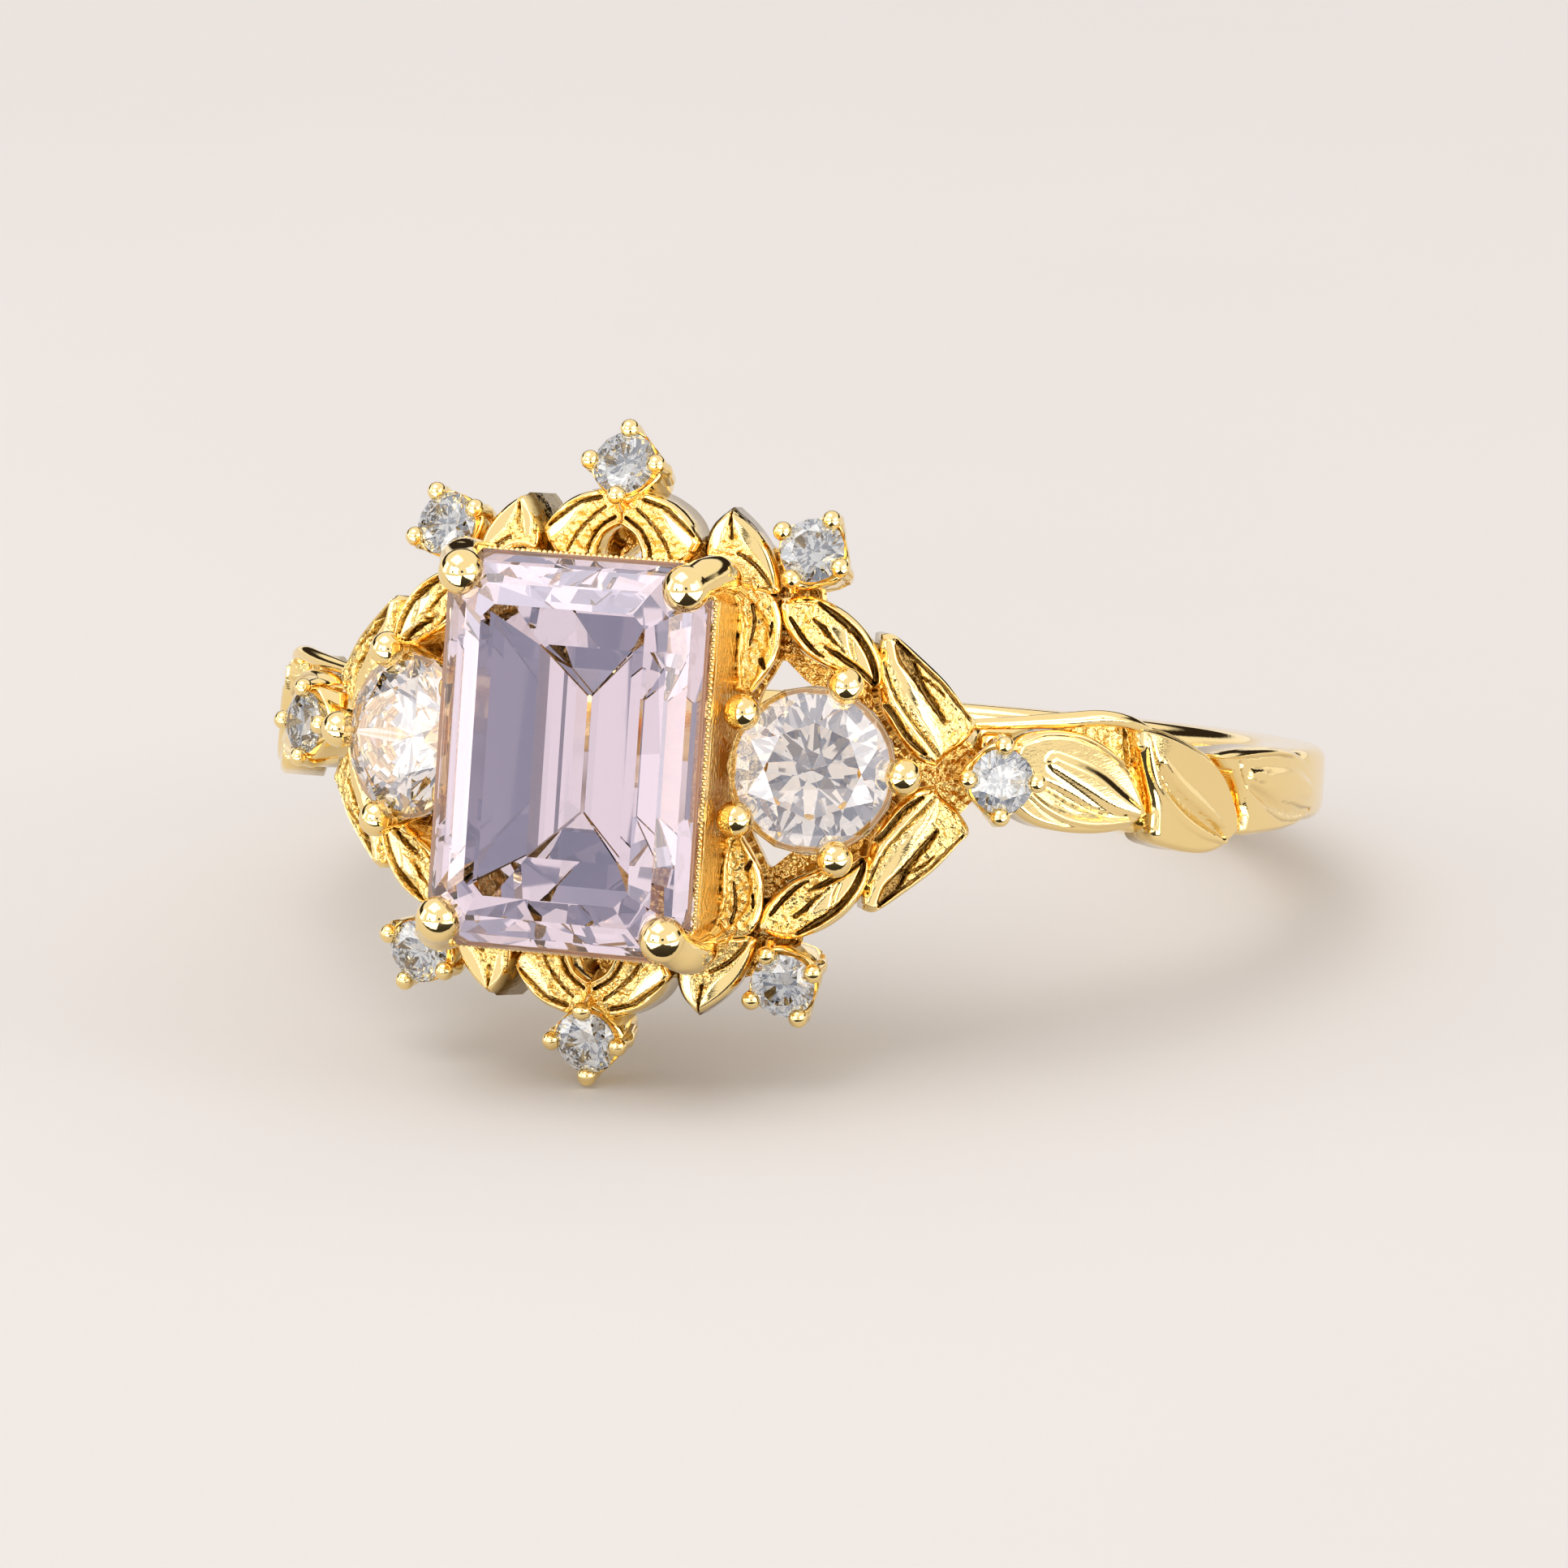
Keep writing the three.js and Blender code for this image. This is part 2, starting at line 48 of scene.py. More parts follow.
# ---------------------------------------------------------------- band
# The band is one bar bent round the finger, plain and slim at the back and swelling unevenly on the
# shoulders. The whole setting is cast in yellow gold: what a buffing wheel reaches is mirror bright, and
# the hollows keep the sandy skin of the casting.
BAND_START = 40.0  # degrees from the middle of the head to the end of the bar
BAND_STEPS = 200
BAND_INNER = 8.45
BAND_CORNER = 0.2  # rounding of its section, as a share of the bar's width
BAND_OUTER = [(42, 9.2), (66, 9.4), (84, 9.6), (94, 9.76), (112, 9.78), (135, 9.66), (180, 9.6)]
BAND_TOP = [(42, 0.9), (50, 0.95), (58, 1.0), (64, 0.86), (70, 0.6), (76, 0.68), (86, 0.6), (94, 0.66),
            (180, 0.69)]
BAND_FOOT = [(42, 0.52), (47, 0.78), (56, 0.8), (66, 1.02), (72, 0.84), (82, 0.8), (92, 0.7), (180, 0.69)]
CROWN = 0.02
MANDREL = 10.0  # radius on which distances round the finger are measured
SIDES = {"right": 1, "left": -1}

# Shapes are made on the ring's own axes, in millimetres: the finger axis is Z and the head faces -Y. The
# ring lies leaned back on the back of its band, so each shape is set down on the finger hole's axis when
# it is done.
hole = next(mount for mount in frame["record"]["mounts"] if mount["name"] == "finger_hole")
lean = Vector((0, 0, 1)).rotation_difference(Vector(hole["axis"])).to_matrix().to_4x4()
LAID_DOWN = Matrix.Translation(hole["pos_m"]) @ lean @ Matrix.Scale(0.001, 4)


def set_down(name, bm, material, nodes, smooth=True, levels=0):
    """Lays a finished shape down with the ring, as a piece that stands for its CAD nodes."""
    bmesh.ops.transform(bm, matrix=LAID_DOWN, verts=bm.verts)
    mesh = bpy.data.meshes.new(name)
    bm.to_mesh(mesh)
    bm.free()
    mesh.polygons.foreach_set("use_smooth", [smooth] * len(mesh.polygons))
    mesh.materials.append(material)
    piece = bpy.data.objects.new(name, mesh)
    scene.collection.objects.link(piece)
    if levels:
        subdivision = piece.modifiers.new("Subdivision", "SUBSURF")
        subdivision.levels = subdivision.render_levels = levels
    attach(piece, "root")
    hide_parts(*nodes)
    return piece


GOLD_BRIGHT = (0.98, 0.765, 0.36, 1)
# Deeper amber, mixed in at random as a real tone, and in the sandy recesses as painted shade.
GOLD_DEEP = (0.96, 0.69, 0.25, 1)
# Dark brown painted into grooves, creases and leaf walls as painted shade, in place of the shade and dark
# reflections there.
GOLD_PAINTED_SHADE = (0.16, 0.085, 0.02, 1)
SKIN_DEPTH = 0.00006  # metres, of the sand that a casting keeps
SAND_GRAIN = 0.00013  # metres


def put(tree, kind, settings=None, **inputs):
    """Adds a node. An input that is a socket is linked, and any other value is set."""
    made = tree.nodes.new(kind)
    for key, value in (settings or {}).items():
        setattr(made, key, value)
    for key, value in inputs.items():
        socket = made.inputs[int(key[1:])] if key[1:].isdigit() else made.inputs[key.replace("_", " ")]
        if isinstance(value, bpy.types.NodeSocket):
            tree.links.new(value, socket)
        else:
            socket.default_value = value
    return made


def math_node(tree, operation, first, second):
    return put(tree, "ShaderNodeMath", {"operation": operation}, _0=first, _1=second).outputs[0]


def colour_mix(tree, share, first, second):
    mixed = put(tree, "ShaderNodeMix", {"data_type": "RGBA"}, _0=share, _6=first, _7=second)
    return mixed.outputs[2]


def cast_finish_group():
    """Colour, roughness and height of cast gold, from how sandy its skin is and how much painted shade it
    gets: the colour is painted darker in the sand pits and crevices, and deeper in recesses.
    """
    group = bpy.data.node_groups.new("Cast gold finish", "ShaderNodeTree")
    face = group.interface
    face.new_socket("Recess", in_out="INPUT", socket_type="NodeSocketFloat")
    face.new_socket("Crevice", in_out="INPUT", socket_type="NodeSocketFloat")
    face.new_socket("Grain size", in_out="INPUT", socket_type="NodeSocketFloat")
    face.new_socket("Bright", in_out="INPUT", socket_type="NodeSocketColor")
    face.new_socket("Deep", in_out="INPUT", socket_type="NodeSocketColor")
    face.new_socket("Dark", in_out="INPUT", socket_type="NodeSocketColor")
    face.new_socket("Color", in_out="OUTPUT", socket_type="NodeSocketColor")
    face.new_socket("Roughness", in_out="OUTPUT", socket_type="NodeSocketFloat")
    face.new_socket("Height", in_out="OUTPUT", socket_type="NodeSocketFloat")
    given = put(group, "NodeGroupInput").outputs
    place = put(group, "ShaderNodeTexCoord").outputs["Object"]
    mottle = put(group, "ShaderNodeTexNoise", Vector=place, Scale=1400.0, Detail=3.0).outputs["Fac"]
    per_metre = math_node(group, "DIVIDE", 1.0, given["Grain size"])
    grains = put(group, "ShaderNodeTexNoise", Vector=place, Scale=per_metre, Detail=2.0, Roughness=0.6)
    sand = grains.outputs["Fac"]
    pits = put(group, "ShaderNodeTexVoronoi", Vector=place, Scale=per_metre).outputs["Distance"]
    stretched = put(group, "ShaderNodeMapping", Vector=place, Scale=(1.0, 1.0, 7.0)).outputs[0]
    wheel = put(group, "ShaderNodeTexNoise", Vector=stretched, Scale=5200.0, Detail=2.0).outputs["Fac"]
    grain = math_node(group, "ADD", math_node(group, "MULTIPLY", pits, 0.7), sand)
    rough_skin = math_node(group, "MULTIPLY", grain, given["Recess"])
    height = math_node(group, "ADD", rough_skin, math_node(group, "MULTIPLY", wheel, 0.02))
    worn = math_node(group, "ADD", math_node(group, "MULTIPLY", mottle, 0.05), 0.025)
    softened = math_node(group, "MULTIPLY", given["Recess"], 0.16)
    roughness = math_node(group, "ADD", worn, softened)
    # The colour deepens with a random mottle, which is real tone, and with the recess, which is painted
    # shade in place of the deeper colour that light bouncing in hollows gives.
    stain = math_node(group, "MULTIPLY", mottle, 0.25)
    depth = math_node(group, "MULTIPLY", given["Recess"], 0.8)
    tone_and_painted_shade = put(group, "ShaderNodeMath", {"operation": "ADD", "use_clamp": True}, _0=stain, _1=depth)
    colour = colour_mix(group, tone_and_painted_shade.outputs[0], given["Bright"], given["Deep"])
    # Painted shade: the low points of the sand in the hollows, and the marked crevices, are painted towards
    # the dark colour.
    lowest = put(group, "ShaderNodeMapRange", Value=sand, From_Min=0.42, From_Max=0.3).outputs[0]
    pitted = math_node(group, "MULTIPLY", lowest, given["Recess"])
    painted_groove_shade = math_node(group, "MULTIPLY", given["Crevice"], 0.95)
    darkened = put(group, "ShaderNodeMath", {"operation": "MULTIPLY_ADD", "use_clamp": True}, _0=pitted,
                   _1=0.4, _2=painted_groove_shade)
    colour = colour_mix(group, darkened.outputs[0], colour, given["Dark"])
    put(group, "NodeGroupOutput", Color=colour, Roughness=roughness, Height=height)
    return group


cast_finish = cast_finish_group()


def gold(name, recess=0.0, crevice=0.0):
    """Cast gold. Its sandy recess and the painted shade of its grooves come from the vertex attributes that
    the two arguments name, or are plain values.
    """
    material = bpy.data.materials.new(name)
    material.use_nodes = True
    tree = material.node_tree
    shader = tree.nodes["Principled BSDF"]
    shader.inputs["Metallic"].default_value = 1.0
    if isinstance(recess, str):
        recess = put(tree, "ShaderNodeAttribute", {"attribute_name": recess}).outputs["Fac"]
    if isinstance(crevice, str):
        crevice = put(tree, "ShaderNodeAttribute", {"attribute_name": crevice}).outputs["Fac"]
    finish = put(
        tree, "ShaderNodeGroup", {"node_tree": cast_finish}, Recess=recess, Crevice=crevice,
        Grain_size=SAND_GRAIN, Bright=GOLD_BRIGHT, Deep=GOLD_DEEP, Dark=GOLD_PAINTED_SHADE,
    ).outputs
    bump = put(tree, "ShaderNodeBump", Strength=1.0, Distance=SKIN_DEPTH, Height=finish["Height"])
    tree.links.new(finish["Color"], shader.inputs["Base Color"])
    tree.links.new(finish["Roughness"], shader.inputs["Roughness"])
    tree.links.new(bump.outputs["Normal"], shader.inputs["Normal"])
    return material


polished_gold = gold("polished gold")
relief_gold = gold("relief gold", "recess", "crevice")


def on_ring(along, height, radius):
    """A point by its distance round the mandrel, its height up the finger axis and its radius."""
    angle = along / MANDREL
    return Vector((radius * math.sin(angle), -radius * math.cos(angle), height))


def eased(rows, place):
    """The values at a place, eased between the rows of (place, value, ...) on either side of it."""
    place = min(max(place, rows[0][0]), rows[-1][0])
    for low, high in zip(rows, rows[1:]):
        if place <= high[0]:
            share = (place - low[0]) / (high[0] - low[0])
            share *= share * (3 - 2 * share)
            return [a + (b - a) * share for a, b in zip(low[1:], high[1:])]


bm = bmesh.new()
bmesh.ops.create_grid(bm, x_segments=1, y_segments=1, size=0.5)
bmesh.ops.bevel(
    bm, geom=bm.verts[:], offset=BAND_CORNER, affect="VERTICES", segments=4, profile=0.5, material=-1,
)
bmesh.ops.delete(bm, geom=bm.faces[:], context="FACES_ONLY")
stand_up = Matrix.Translation((BAND_INNER + 0.5, 0, 0)) @ Matrix.Rotation(math.radians(90), 4, "X")
turn_to_start = Matrix.Rotation(math.radians(BAND_START - 90), 4, "Z")
bmesh.ops.transform(bm, matrix=turn_to_start @ stand_up, verts=bm.verts)
bmesh.ops.spin(
    bm, geom=bm.verts[:] + bm.edges[:], cent=(0, 0, 0), axis=(0, 0, 1), dvec=(0, 0, 0),
    angle=math.radians(360 - 2 * BAND_START), steps=BAND_STEPS, use_merge=False,
)
for vert in bm.verts:
    radius = math.hypot(vert.co.x, vert.co.y)
    from_head = math.degrees(abs(math.atan2(vert.co.x, -vert.co.y)))
    outer = eased(BAND_OUTER, from_head)[0] + CROWN * (1 - (2 * vert.co.z) ** 2)
    new_radius = BAND_INNER + (radius - BAND_INNER) * (outer - BAND_INNER)
    half = eased(BAND_TOP if vert.co.z > 0 else BAND_FOOT, from_head)[0]
    swell = new_radius / radius
    vert.co = Vector((vert.co.x * swell, vert.co.y * swell, 2 * half * vert.co.z))
bmesh.ops.holes_fill(bm, edges=[edge for edge in bm.edges if edge.is_boundary], sides=0)
bmesh.ops.recalc_face_normals(bm, faces=bm.faces)


def draw_wire(bm, path, radii, sides=14):
    """A round wire along the path, as thick at each point as its radius says, closed at both ends."""
    rings = []
    for i, point in enumerate(path):
        ahead = path[min(i + 1, len(path) - 1)] - path[max(i - 1, 0)]
        turn = Vector((0, 0, 1)).rotation_difference(ahead).to_matrix().to_4x4()
        rings.append(Matrix.Translation(point) @ turn @ Matrix.Scale(radii[i], 4))
    first = bmesh.ops.create_circle(bm, cap_ends=True, segments=sides, radius=1, matrix=rings[0])["verts"]
    loop = list(first[0].link_faces[0].edges)
    for before, after in zip(rings, rings[1:]):
        drawn = bmesh.ops.extrude_edge_only(bm, edges=loop)["geom"]
        verts = [part for part in drawn if isinstance(part, bmesh.types.BMVert)]
        loop = [part for part in drawn if isinstance(part, bmesh.types.BMEdge)]
        loop = [edge for edge in loop if all(vert in verts for vert in edge.verts)]
        bmesh.ops.transform(bm, matrix=after @ before.inverted(), verts=verts)
    bmesh.ops.contextual_create(bm, geom=loop)


# The rail beside the leaves: along, height, radius and thickness.
RAIL = [(6.5, 0.9, 9.3, 0.1), (7.6, 1.0, 9.42, 0.12), (8.6, 1.1, 9.6, 0.15), (9.3, 1.17, 9.7, 0.15),
        (9.9, 1.12, 9.72, 0.13), (10.5, 0.95, 9.66, 0.1)]


def smooth_line(points, steps=8):
    """Close points along the smooth line through a few points."""
    line = []
    last = len(points) - 1
    for i in range(last):
        before, start, end, after = (Vector(points[min(max(k, 0), last)]) for k in range(i - 1, i + 3))
        for j in range(steps):
            t = j / steps
            bend = (2 * before - 5 * start + 4 * end - after) * t * t
            twist = (3 * start - before - 3 * end + after) * t ** 3
            line.append(0.5 * (2 * start + (end - before) * t + bend + twist))
    line.append(Vector(points[-1]))
    return line


rail = smooth_line(RAIL)
for sign in SIDES.values():
    draw_wire(bm, [on_ring(sign * p[0], p[1], p[2]) for p in rail], [p[3] for p in rail])
bmesh.ops.recalc_face_normals(bm, faces=bm.faces)
set_down("fine_shank", bm, polished_gold, ["shank"], levels=1)

# ---------------------------------------------------------------- leaves
# Every leaf of the ring is chased in relief: polished ridges and panels stand over hollows with a sandy
# floor, and grooves cut with a graver part them. They are cast in one with the ring, standing on the
# gallery and on the band.
LEAF_ROWS = 104
LEAF_COLUMNS = 56
EDGE_ROUNDING = 0.12  # how far in from its outline a leaf's edge is rounded
EDGE_DROP = 0.1
RIM_WIDTH = 0.1  # the polished rim round a sandy floor
LUMP_HEIGHT = 0.04
LUMP_PITCH = 9  # lumps to a millimetre
WALL_RECESS = 0.6  # the outer walls of a leaf are half finished
# Painted shade darkens the outer walls of a leaf half way towards the dark colour.
WALL_PAINTED_SHADE = 0.5

# What a mark does to the surface: its height, how sandy it is, how dark the painted shade in it is, and how
# steep its sides are.
MARKS = {
    "ridge": (0.07, 0.0, 0.0, 1.5),
    "panel": (0.05, 0.0, 0.0, 3.0),
    "hollow": (-0.1, 0.9, 0.12, 2.5),
    "groove": (-0.16, 0.3, 1.0, 1.8),
    "line": (-0.06, 0.0, 0.8, 1.6),
    "dish": (-0.09, 0.2, 0.05, 1.1),
    "crease": (-0.035, 0.0, 0.4, 1.3),
}


def walk(line):
    """A function that gives the point at any share of a line's length."""
    reached = [0.0]
    for start, end in zip(line, line[1:]):
        reached.append(reached[-1] + (end - start).length)

    def at(share):
        goal = share * reached[-1]
        i = min(max(bisect_right(reached, goal) - 1, 0), len(line) - 2)
        return line[i].lerp(line[i + 1], (goal - reached[i]) / max(reached[i + 1] - reached[i], 1e-9))

    return at


def nearness(points, line):
    """How near each point is to a line of (along, height, half width): 1 on it, 0 beyond its half width."""
    share = np.zeros(len(points))
    line = np.array([tuple(point) for point in line])
    for start, end in zip(line, line[1:]):
        run = end[:2] - start[:2]
        reach = np.clip((points - start[:2]) @ run / max(run @ run, 1e-9), 0, 1)
        gap = np.linalg.norm(points - start[:2] - reach[:, None] * run, axis=1)
        share = np.maximum(share, 1 - gap / (start[2] + (end[2] - start[2]) * reach))
    return share


def relief(leaf, top):
    """A leaf's surface between its two edges: rows of (along, height, radius, sandiness, painted shade)."""
    out_edge = walk(smooth_line(leaf["out"]))
    back_edge = walk(smooth_line(leaf["back"][::-1]))
    flat = []
    for column in range(LEAF_COLUMNS + 1):
        across = math.sin((2 * column / LEAF_COLUMNS - 1) * math.pi / 2)
        for row in range(LEAF_ROWS + 1):
            along = (1 - math.cos(math.pi * row / LEAF_ROWS)) / 2
            flat.append(out_edge(along).lerp(back_edge(along), (across + 1) / 2))
    points = np.array([tuple(point) for point in flat])
    outline = smooth_line(leaf["out"]) + smooth_line(leaf["back"])
    near_edge = nearness(points, [(x, y, EDGE_ROUNDING) for x, y in outline])
    radius = np.full(len(points), top) - leaf.get("round", EDGE_DROP) * near_edge ** 2
    on_rim = nearness(points, [(x, y, leaf.get("rim", RIM_WIDTH)) for x, y in outline])
    sandy = np.full(len(points), leaf["sandy"]) * (on_rim <= 0)
    dark = np.zeros(len(points))
    for kind, line in leaf["marks"]:
        height, sandiness, darkness, steepness = MARKS[kind]
        share = np.clip(nearness(points, smooth_line(line, steps=4)) * steepness, 0, 1)
        share = share * share * (3 - 2 * share)
        radius += height * share
        sandy += (sandiness - sandy) * share
        dark += (darkness - dark) * share
    lumps = np.array([noise.noise(Vector((x * LUMP_PITCH, y * LUMP_PITCH, top))) for x, y in points])
    radius += leaf.get("lumps", LUMP_HEIGHT) * sandy * lumps
    return list(zip(points[:, 0], points[:, 1], radius, sandy, dark))


def raise_leaf(bm, surface, foot, along_sign, height_sign):
    """Adds a leaf's surface, with walls down to its foot radius."""
    recess = bm.verts.layers.float.get("recess") or bm.verts.layers.float.new("recess")
    crevice = bm.verts.layers.float.get("crevice") or bm.verts.layers.float.new("crevice")
    made = bmesh.ops.create_grid(bm, x_segments=LEAF_ROWS, y_segments=LEAF_COLUMNS, size=1)["verts"]
    made.sort(key=lambda vert: (round(vert.co.y, 5), vert.co.x))
    for vert, (along, height, radius, sandy, dark) in zip(made, surface):
        vert[recess] = sandy
        vert[crevice] = dark
        vert.co = on_ring(along_sign * along, height_sign * height, radius)
    faces = list({face for vert in made for face in vert.link_faces})
    walls = bmesh.ops.extrude_face_region(bm, geom=faces)["geom"]
    for vert in (part for part in walls if isinstance(part, bmesh.types.BMVert)):
        scale = foot / math.hypot(vert.co.x, vert.co.y)
        vert.co.x *= scale
        vert.co.y *= scale
        vert[recess] = WALL_RECESS
        vert[crevice] = WALL_PAINTED_SHADE
    bmesh.ops.remove_doubles(bm, verts=bm.verts, dist=0.0005)
    bmesh.ops.recalc_face_normals(bm, faces=bm.faces)


SHOULDER_LEAVES = [
    {  # the broad leaf next to the head, with a fold across it and a hollow below the fold
        "out": [(7.45, 0.3), (7.6, 0.72), (8.1, 0.9), (8.8, 0.9), (9.3, 0.74), (9.8, 0.45), (10.15, 0.05),
                (10.5, -0.52)],
        "back": [(10.5, -0.52), (10.0, -0.78), (9.3, -0.89), (8.5, -0.87), (7.95, -0.74), (7.5, -0.45)],
        "sandy": 0.0,
        "lumps": 0.015,
        "marks": [
            ("ridge", [(8.3, 0.35, 0.2), (9.1, 0.02, 0.3), (9.7, -0.3, 0.26), (10.2, -0.48, 0.12)]),
            ("dish", [(7.9, 0.02, 0.05), (8.3, -0.14, 0.12), (8.75, -0.34, 0.14), (9.15, -0.49, 0.08),
                      (9.5, -0.56, 0.03)]),
            ("crease", [(8.0, -0.13, 0.02), (8.35, -0.33, 0.03), (8.7, -0.52, 0.035), (9.1, -0.58, 0.045),
                        (9.5, -0.58, 0.02)]),
            ("ridge", [(7.85, -0.24, 0.06), (8.2, -0.47, 0.08), (8.7, -0.66, 0.08), (9.3, -0.71, 0.08),
                       (10.0, -0.64, 0.06)]),
            ("crease", [(7.85, -0.3, 0.02), (8.2, -0.57, 0.02), (8.6, -0.75, 0.015)]),
            ("ridge", [(7.6, 0.66, 0.04), (8.1, 0.86, 0.06), (8.8, 0.85, 0.06), (9.3, 0.68, 0.06),
                       (9.8, 0.39, 0.05)]),
            ("crease", [(7.55, 0.6, 0.02), (8.0, 0.79, 0.035), (8.4, 0.82, 0.03), (8.9, 0.76, 0.025),
                        (9.4, 0.56, 0.03), (9.8, 0.33, 0.04), (10.02, 0.12, 0.04)]),
        ],
    },
    {  # the leaf that crosses the band on the slant, with a long hollow beside its lower edge
        "out": [(10.2, 1.08), (10.8, 0.98), (11.5, 0.77), (12.1, 0.52), (12.6, 0.15), (13.0, -0.4),
                (13.1, -0.8)],
        "back": [(13.1, -0.8), (12.6, -1.1), (12.0, -1.2), (11.3, -1.14), (10.7, -0.96), (10.62, -0.4),
                 (10.42, 0.15), (10.25, 0.6)],
        "sandy": 0.0,
        "lumps": 0.015,
        "marks": [
            ("ridge", [(10.32, 0.85, 0.07), (10.5, 0.3, 0.1), (10.8, -0.15, 0.12), (11.3, -0.55, 0.13),
                       (11.9, -0.82, 0.12), (12.6, -0.98, 0.07)]),
            ("dish", [(10.45, 0.75, 0.03), (10.62, 0.38, 0.08), (10.95, 0.0, 0.12), (11.4, -0.31, 0.14),
                      (11.95, -0.6, 0.13), (12.4, -0.81, 0.08), (12.62, -0.9, 0.03)]),
            ("crease", [(10.5, 0.5, 0.02), (10.78, 0.06, 0.025), (11.2, -0.32, 0.035), (11.8, -0.67, 0.03),
                        (12.5, -0.93, 0.025)]),
            ("ridge", [(10.75, 0.45, 0.08), (11.2, 0.05, 0.12), (11.8, -0.3, 0.12), (12.5, -0.68, 0.08)]),
            ("crease", [(10.3, 1.03, 0.02), (10.9, 0.92, 0.03), (11.5, 0.71, 0.035), (12.1, 0.46, 0.02)]),
        ],
    },
    {  # the last leaf, a long oval whose hollow runs out into the plain band
        "out": [(12.3, 0.58), (12.9, 0.68), (14.0, 0.73), (15.0, 0.68), (15.8, 0.54), (16.5, 0.24),
                (16.95, -0.15)],
        "back": [(16.95, -0.15), (16.6, -0.52), (15.8, -0.7), (15.0, -0.79), (14.0, -0.85), (13.2, -0.85),
                 (13.25, -0.5), (13.1, -0.1), (12.8, 0.25)],
        "sandy": 0.0,
        "lumps": 0.015,
        "round": 0.14,
        "marks": [
            ("ridge", [(13.4, 0.2, 0.2), (14.2, 0.1, 0.32), (15.2, 0.05, 0.34), (16.2, -0.1, 0.2)]),
            ("dish", [(13.35, 0.0, 0.05), (13.8, -0.16, 0.14), (14.4, -0.35, 0.17), (15.1, -0.45, 0.18),
                      (15.8, -0.49, 0.14), (16.5, -0.48, 0.06)]),
            ("crease", [(14.7, -0.27, 0.02), (15.3, -0.32, 0.035), (15.9, -0.4, 0.045),
                        (16.6, -0.44, 0.03)]),
            ("crease", [(14.0, -0.4, 0.02), (14.7, -0.6, 0.035), (15.4, -0.63, 0.03),
                        (16.2, -0.58, 0.025)]),
            ("crease", [(13.35, 0.3, 0.02), (13.6, 0.36, 0.02), (13.9, 0.28, 0.02), (14.4, 0.26, 0.015)]),
            ("crease", [(13.3, 0.2, 0.02), (13.5, 0.12, 0.02), (13.85, 0.09, 0.015)]),
            ("groove", [(12.95, 0.46, 0.035), (13.05, 0.25, 0.035), (13.22, 0.0, 0.02)]),
            ("ridge", [(12.35, 0.56, 0.05), (12.8, 0.6, 0.09), (13.5, 0.64, 0.08), (14.3, 0.66, 0.06),
                       (15.0, 0.6, 0.04)]),
            ("crease", [(13.1, 0.54, 0.02), (13.8, 0.57, 0.025), (14.5, 0.58, 0.03), (15.1, 0.54, 0.02)]),
        ],
    },
]
POCKET = {  # the sandy pocket between the first leaf and the rail above it
    "out": [(8.65, 0.98), (9.1, 1.14), (9.6, 1.14), (10.1, 1.02), (10.25, 0.9)],
    "back": [(10.25, 0.9), (10.35, 0.3), (10.2, 0.15), (9.7, 0.4), (9.2, 0.7), (8.75, 0.85)],
    "sandy": 1.0,
    "rim": 0.01,
    "marks": [("groove", [(10.06, 1.0, 0.05), (10.1, 0.6, 0.09), (10.2, 0.28, 0.04)])],
}
SHOULDER_FOOT = 9.0  # radii
SHOULDER_TOP = 9.82
POCKET_TOP = 9.48
shoulder_reliefs = [relief(leaf, SHOULDER_TOP) for leaf in SHOULDER_LEAVES]
pocket_relief = relief(POCKET, POCKET_TOP)
for side, sign in SIDES.items():
    for i, surface in enumerate(shoulder_reliefs, start=1):
        bm = bmesh.new()
        raise_leaf(bm, surface, SHOULDER_FOOT, sign, 1)
        if i == 1:
            raise_leaf(bm, pocket_relief, SHOULDER_FOOT, sign, 1)
        node = f"shank_leaf_{side}_{i}"
        set_down(f"fine_{node}", bm, relief_gold, [node])

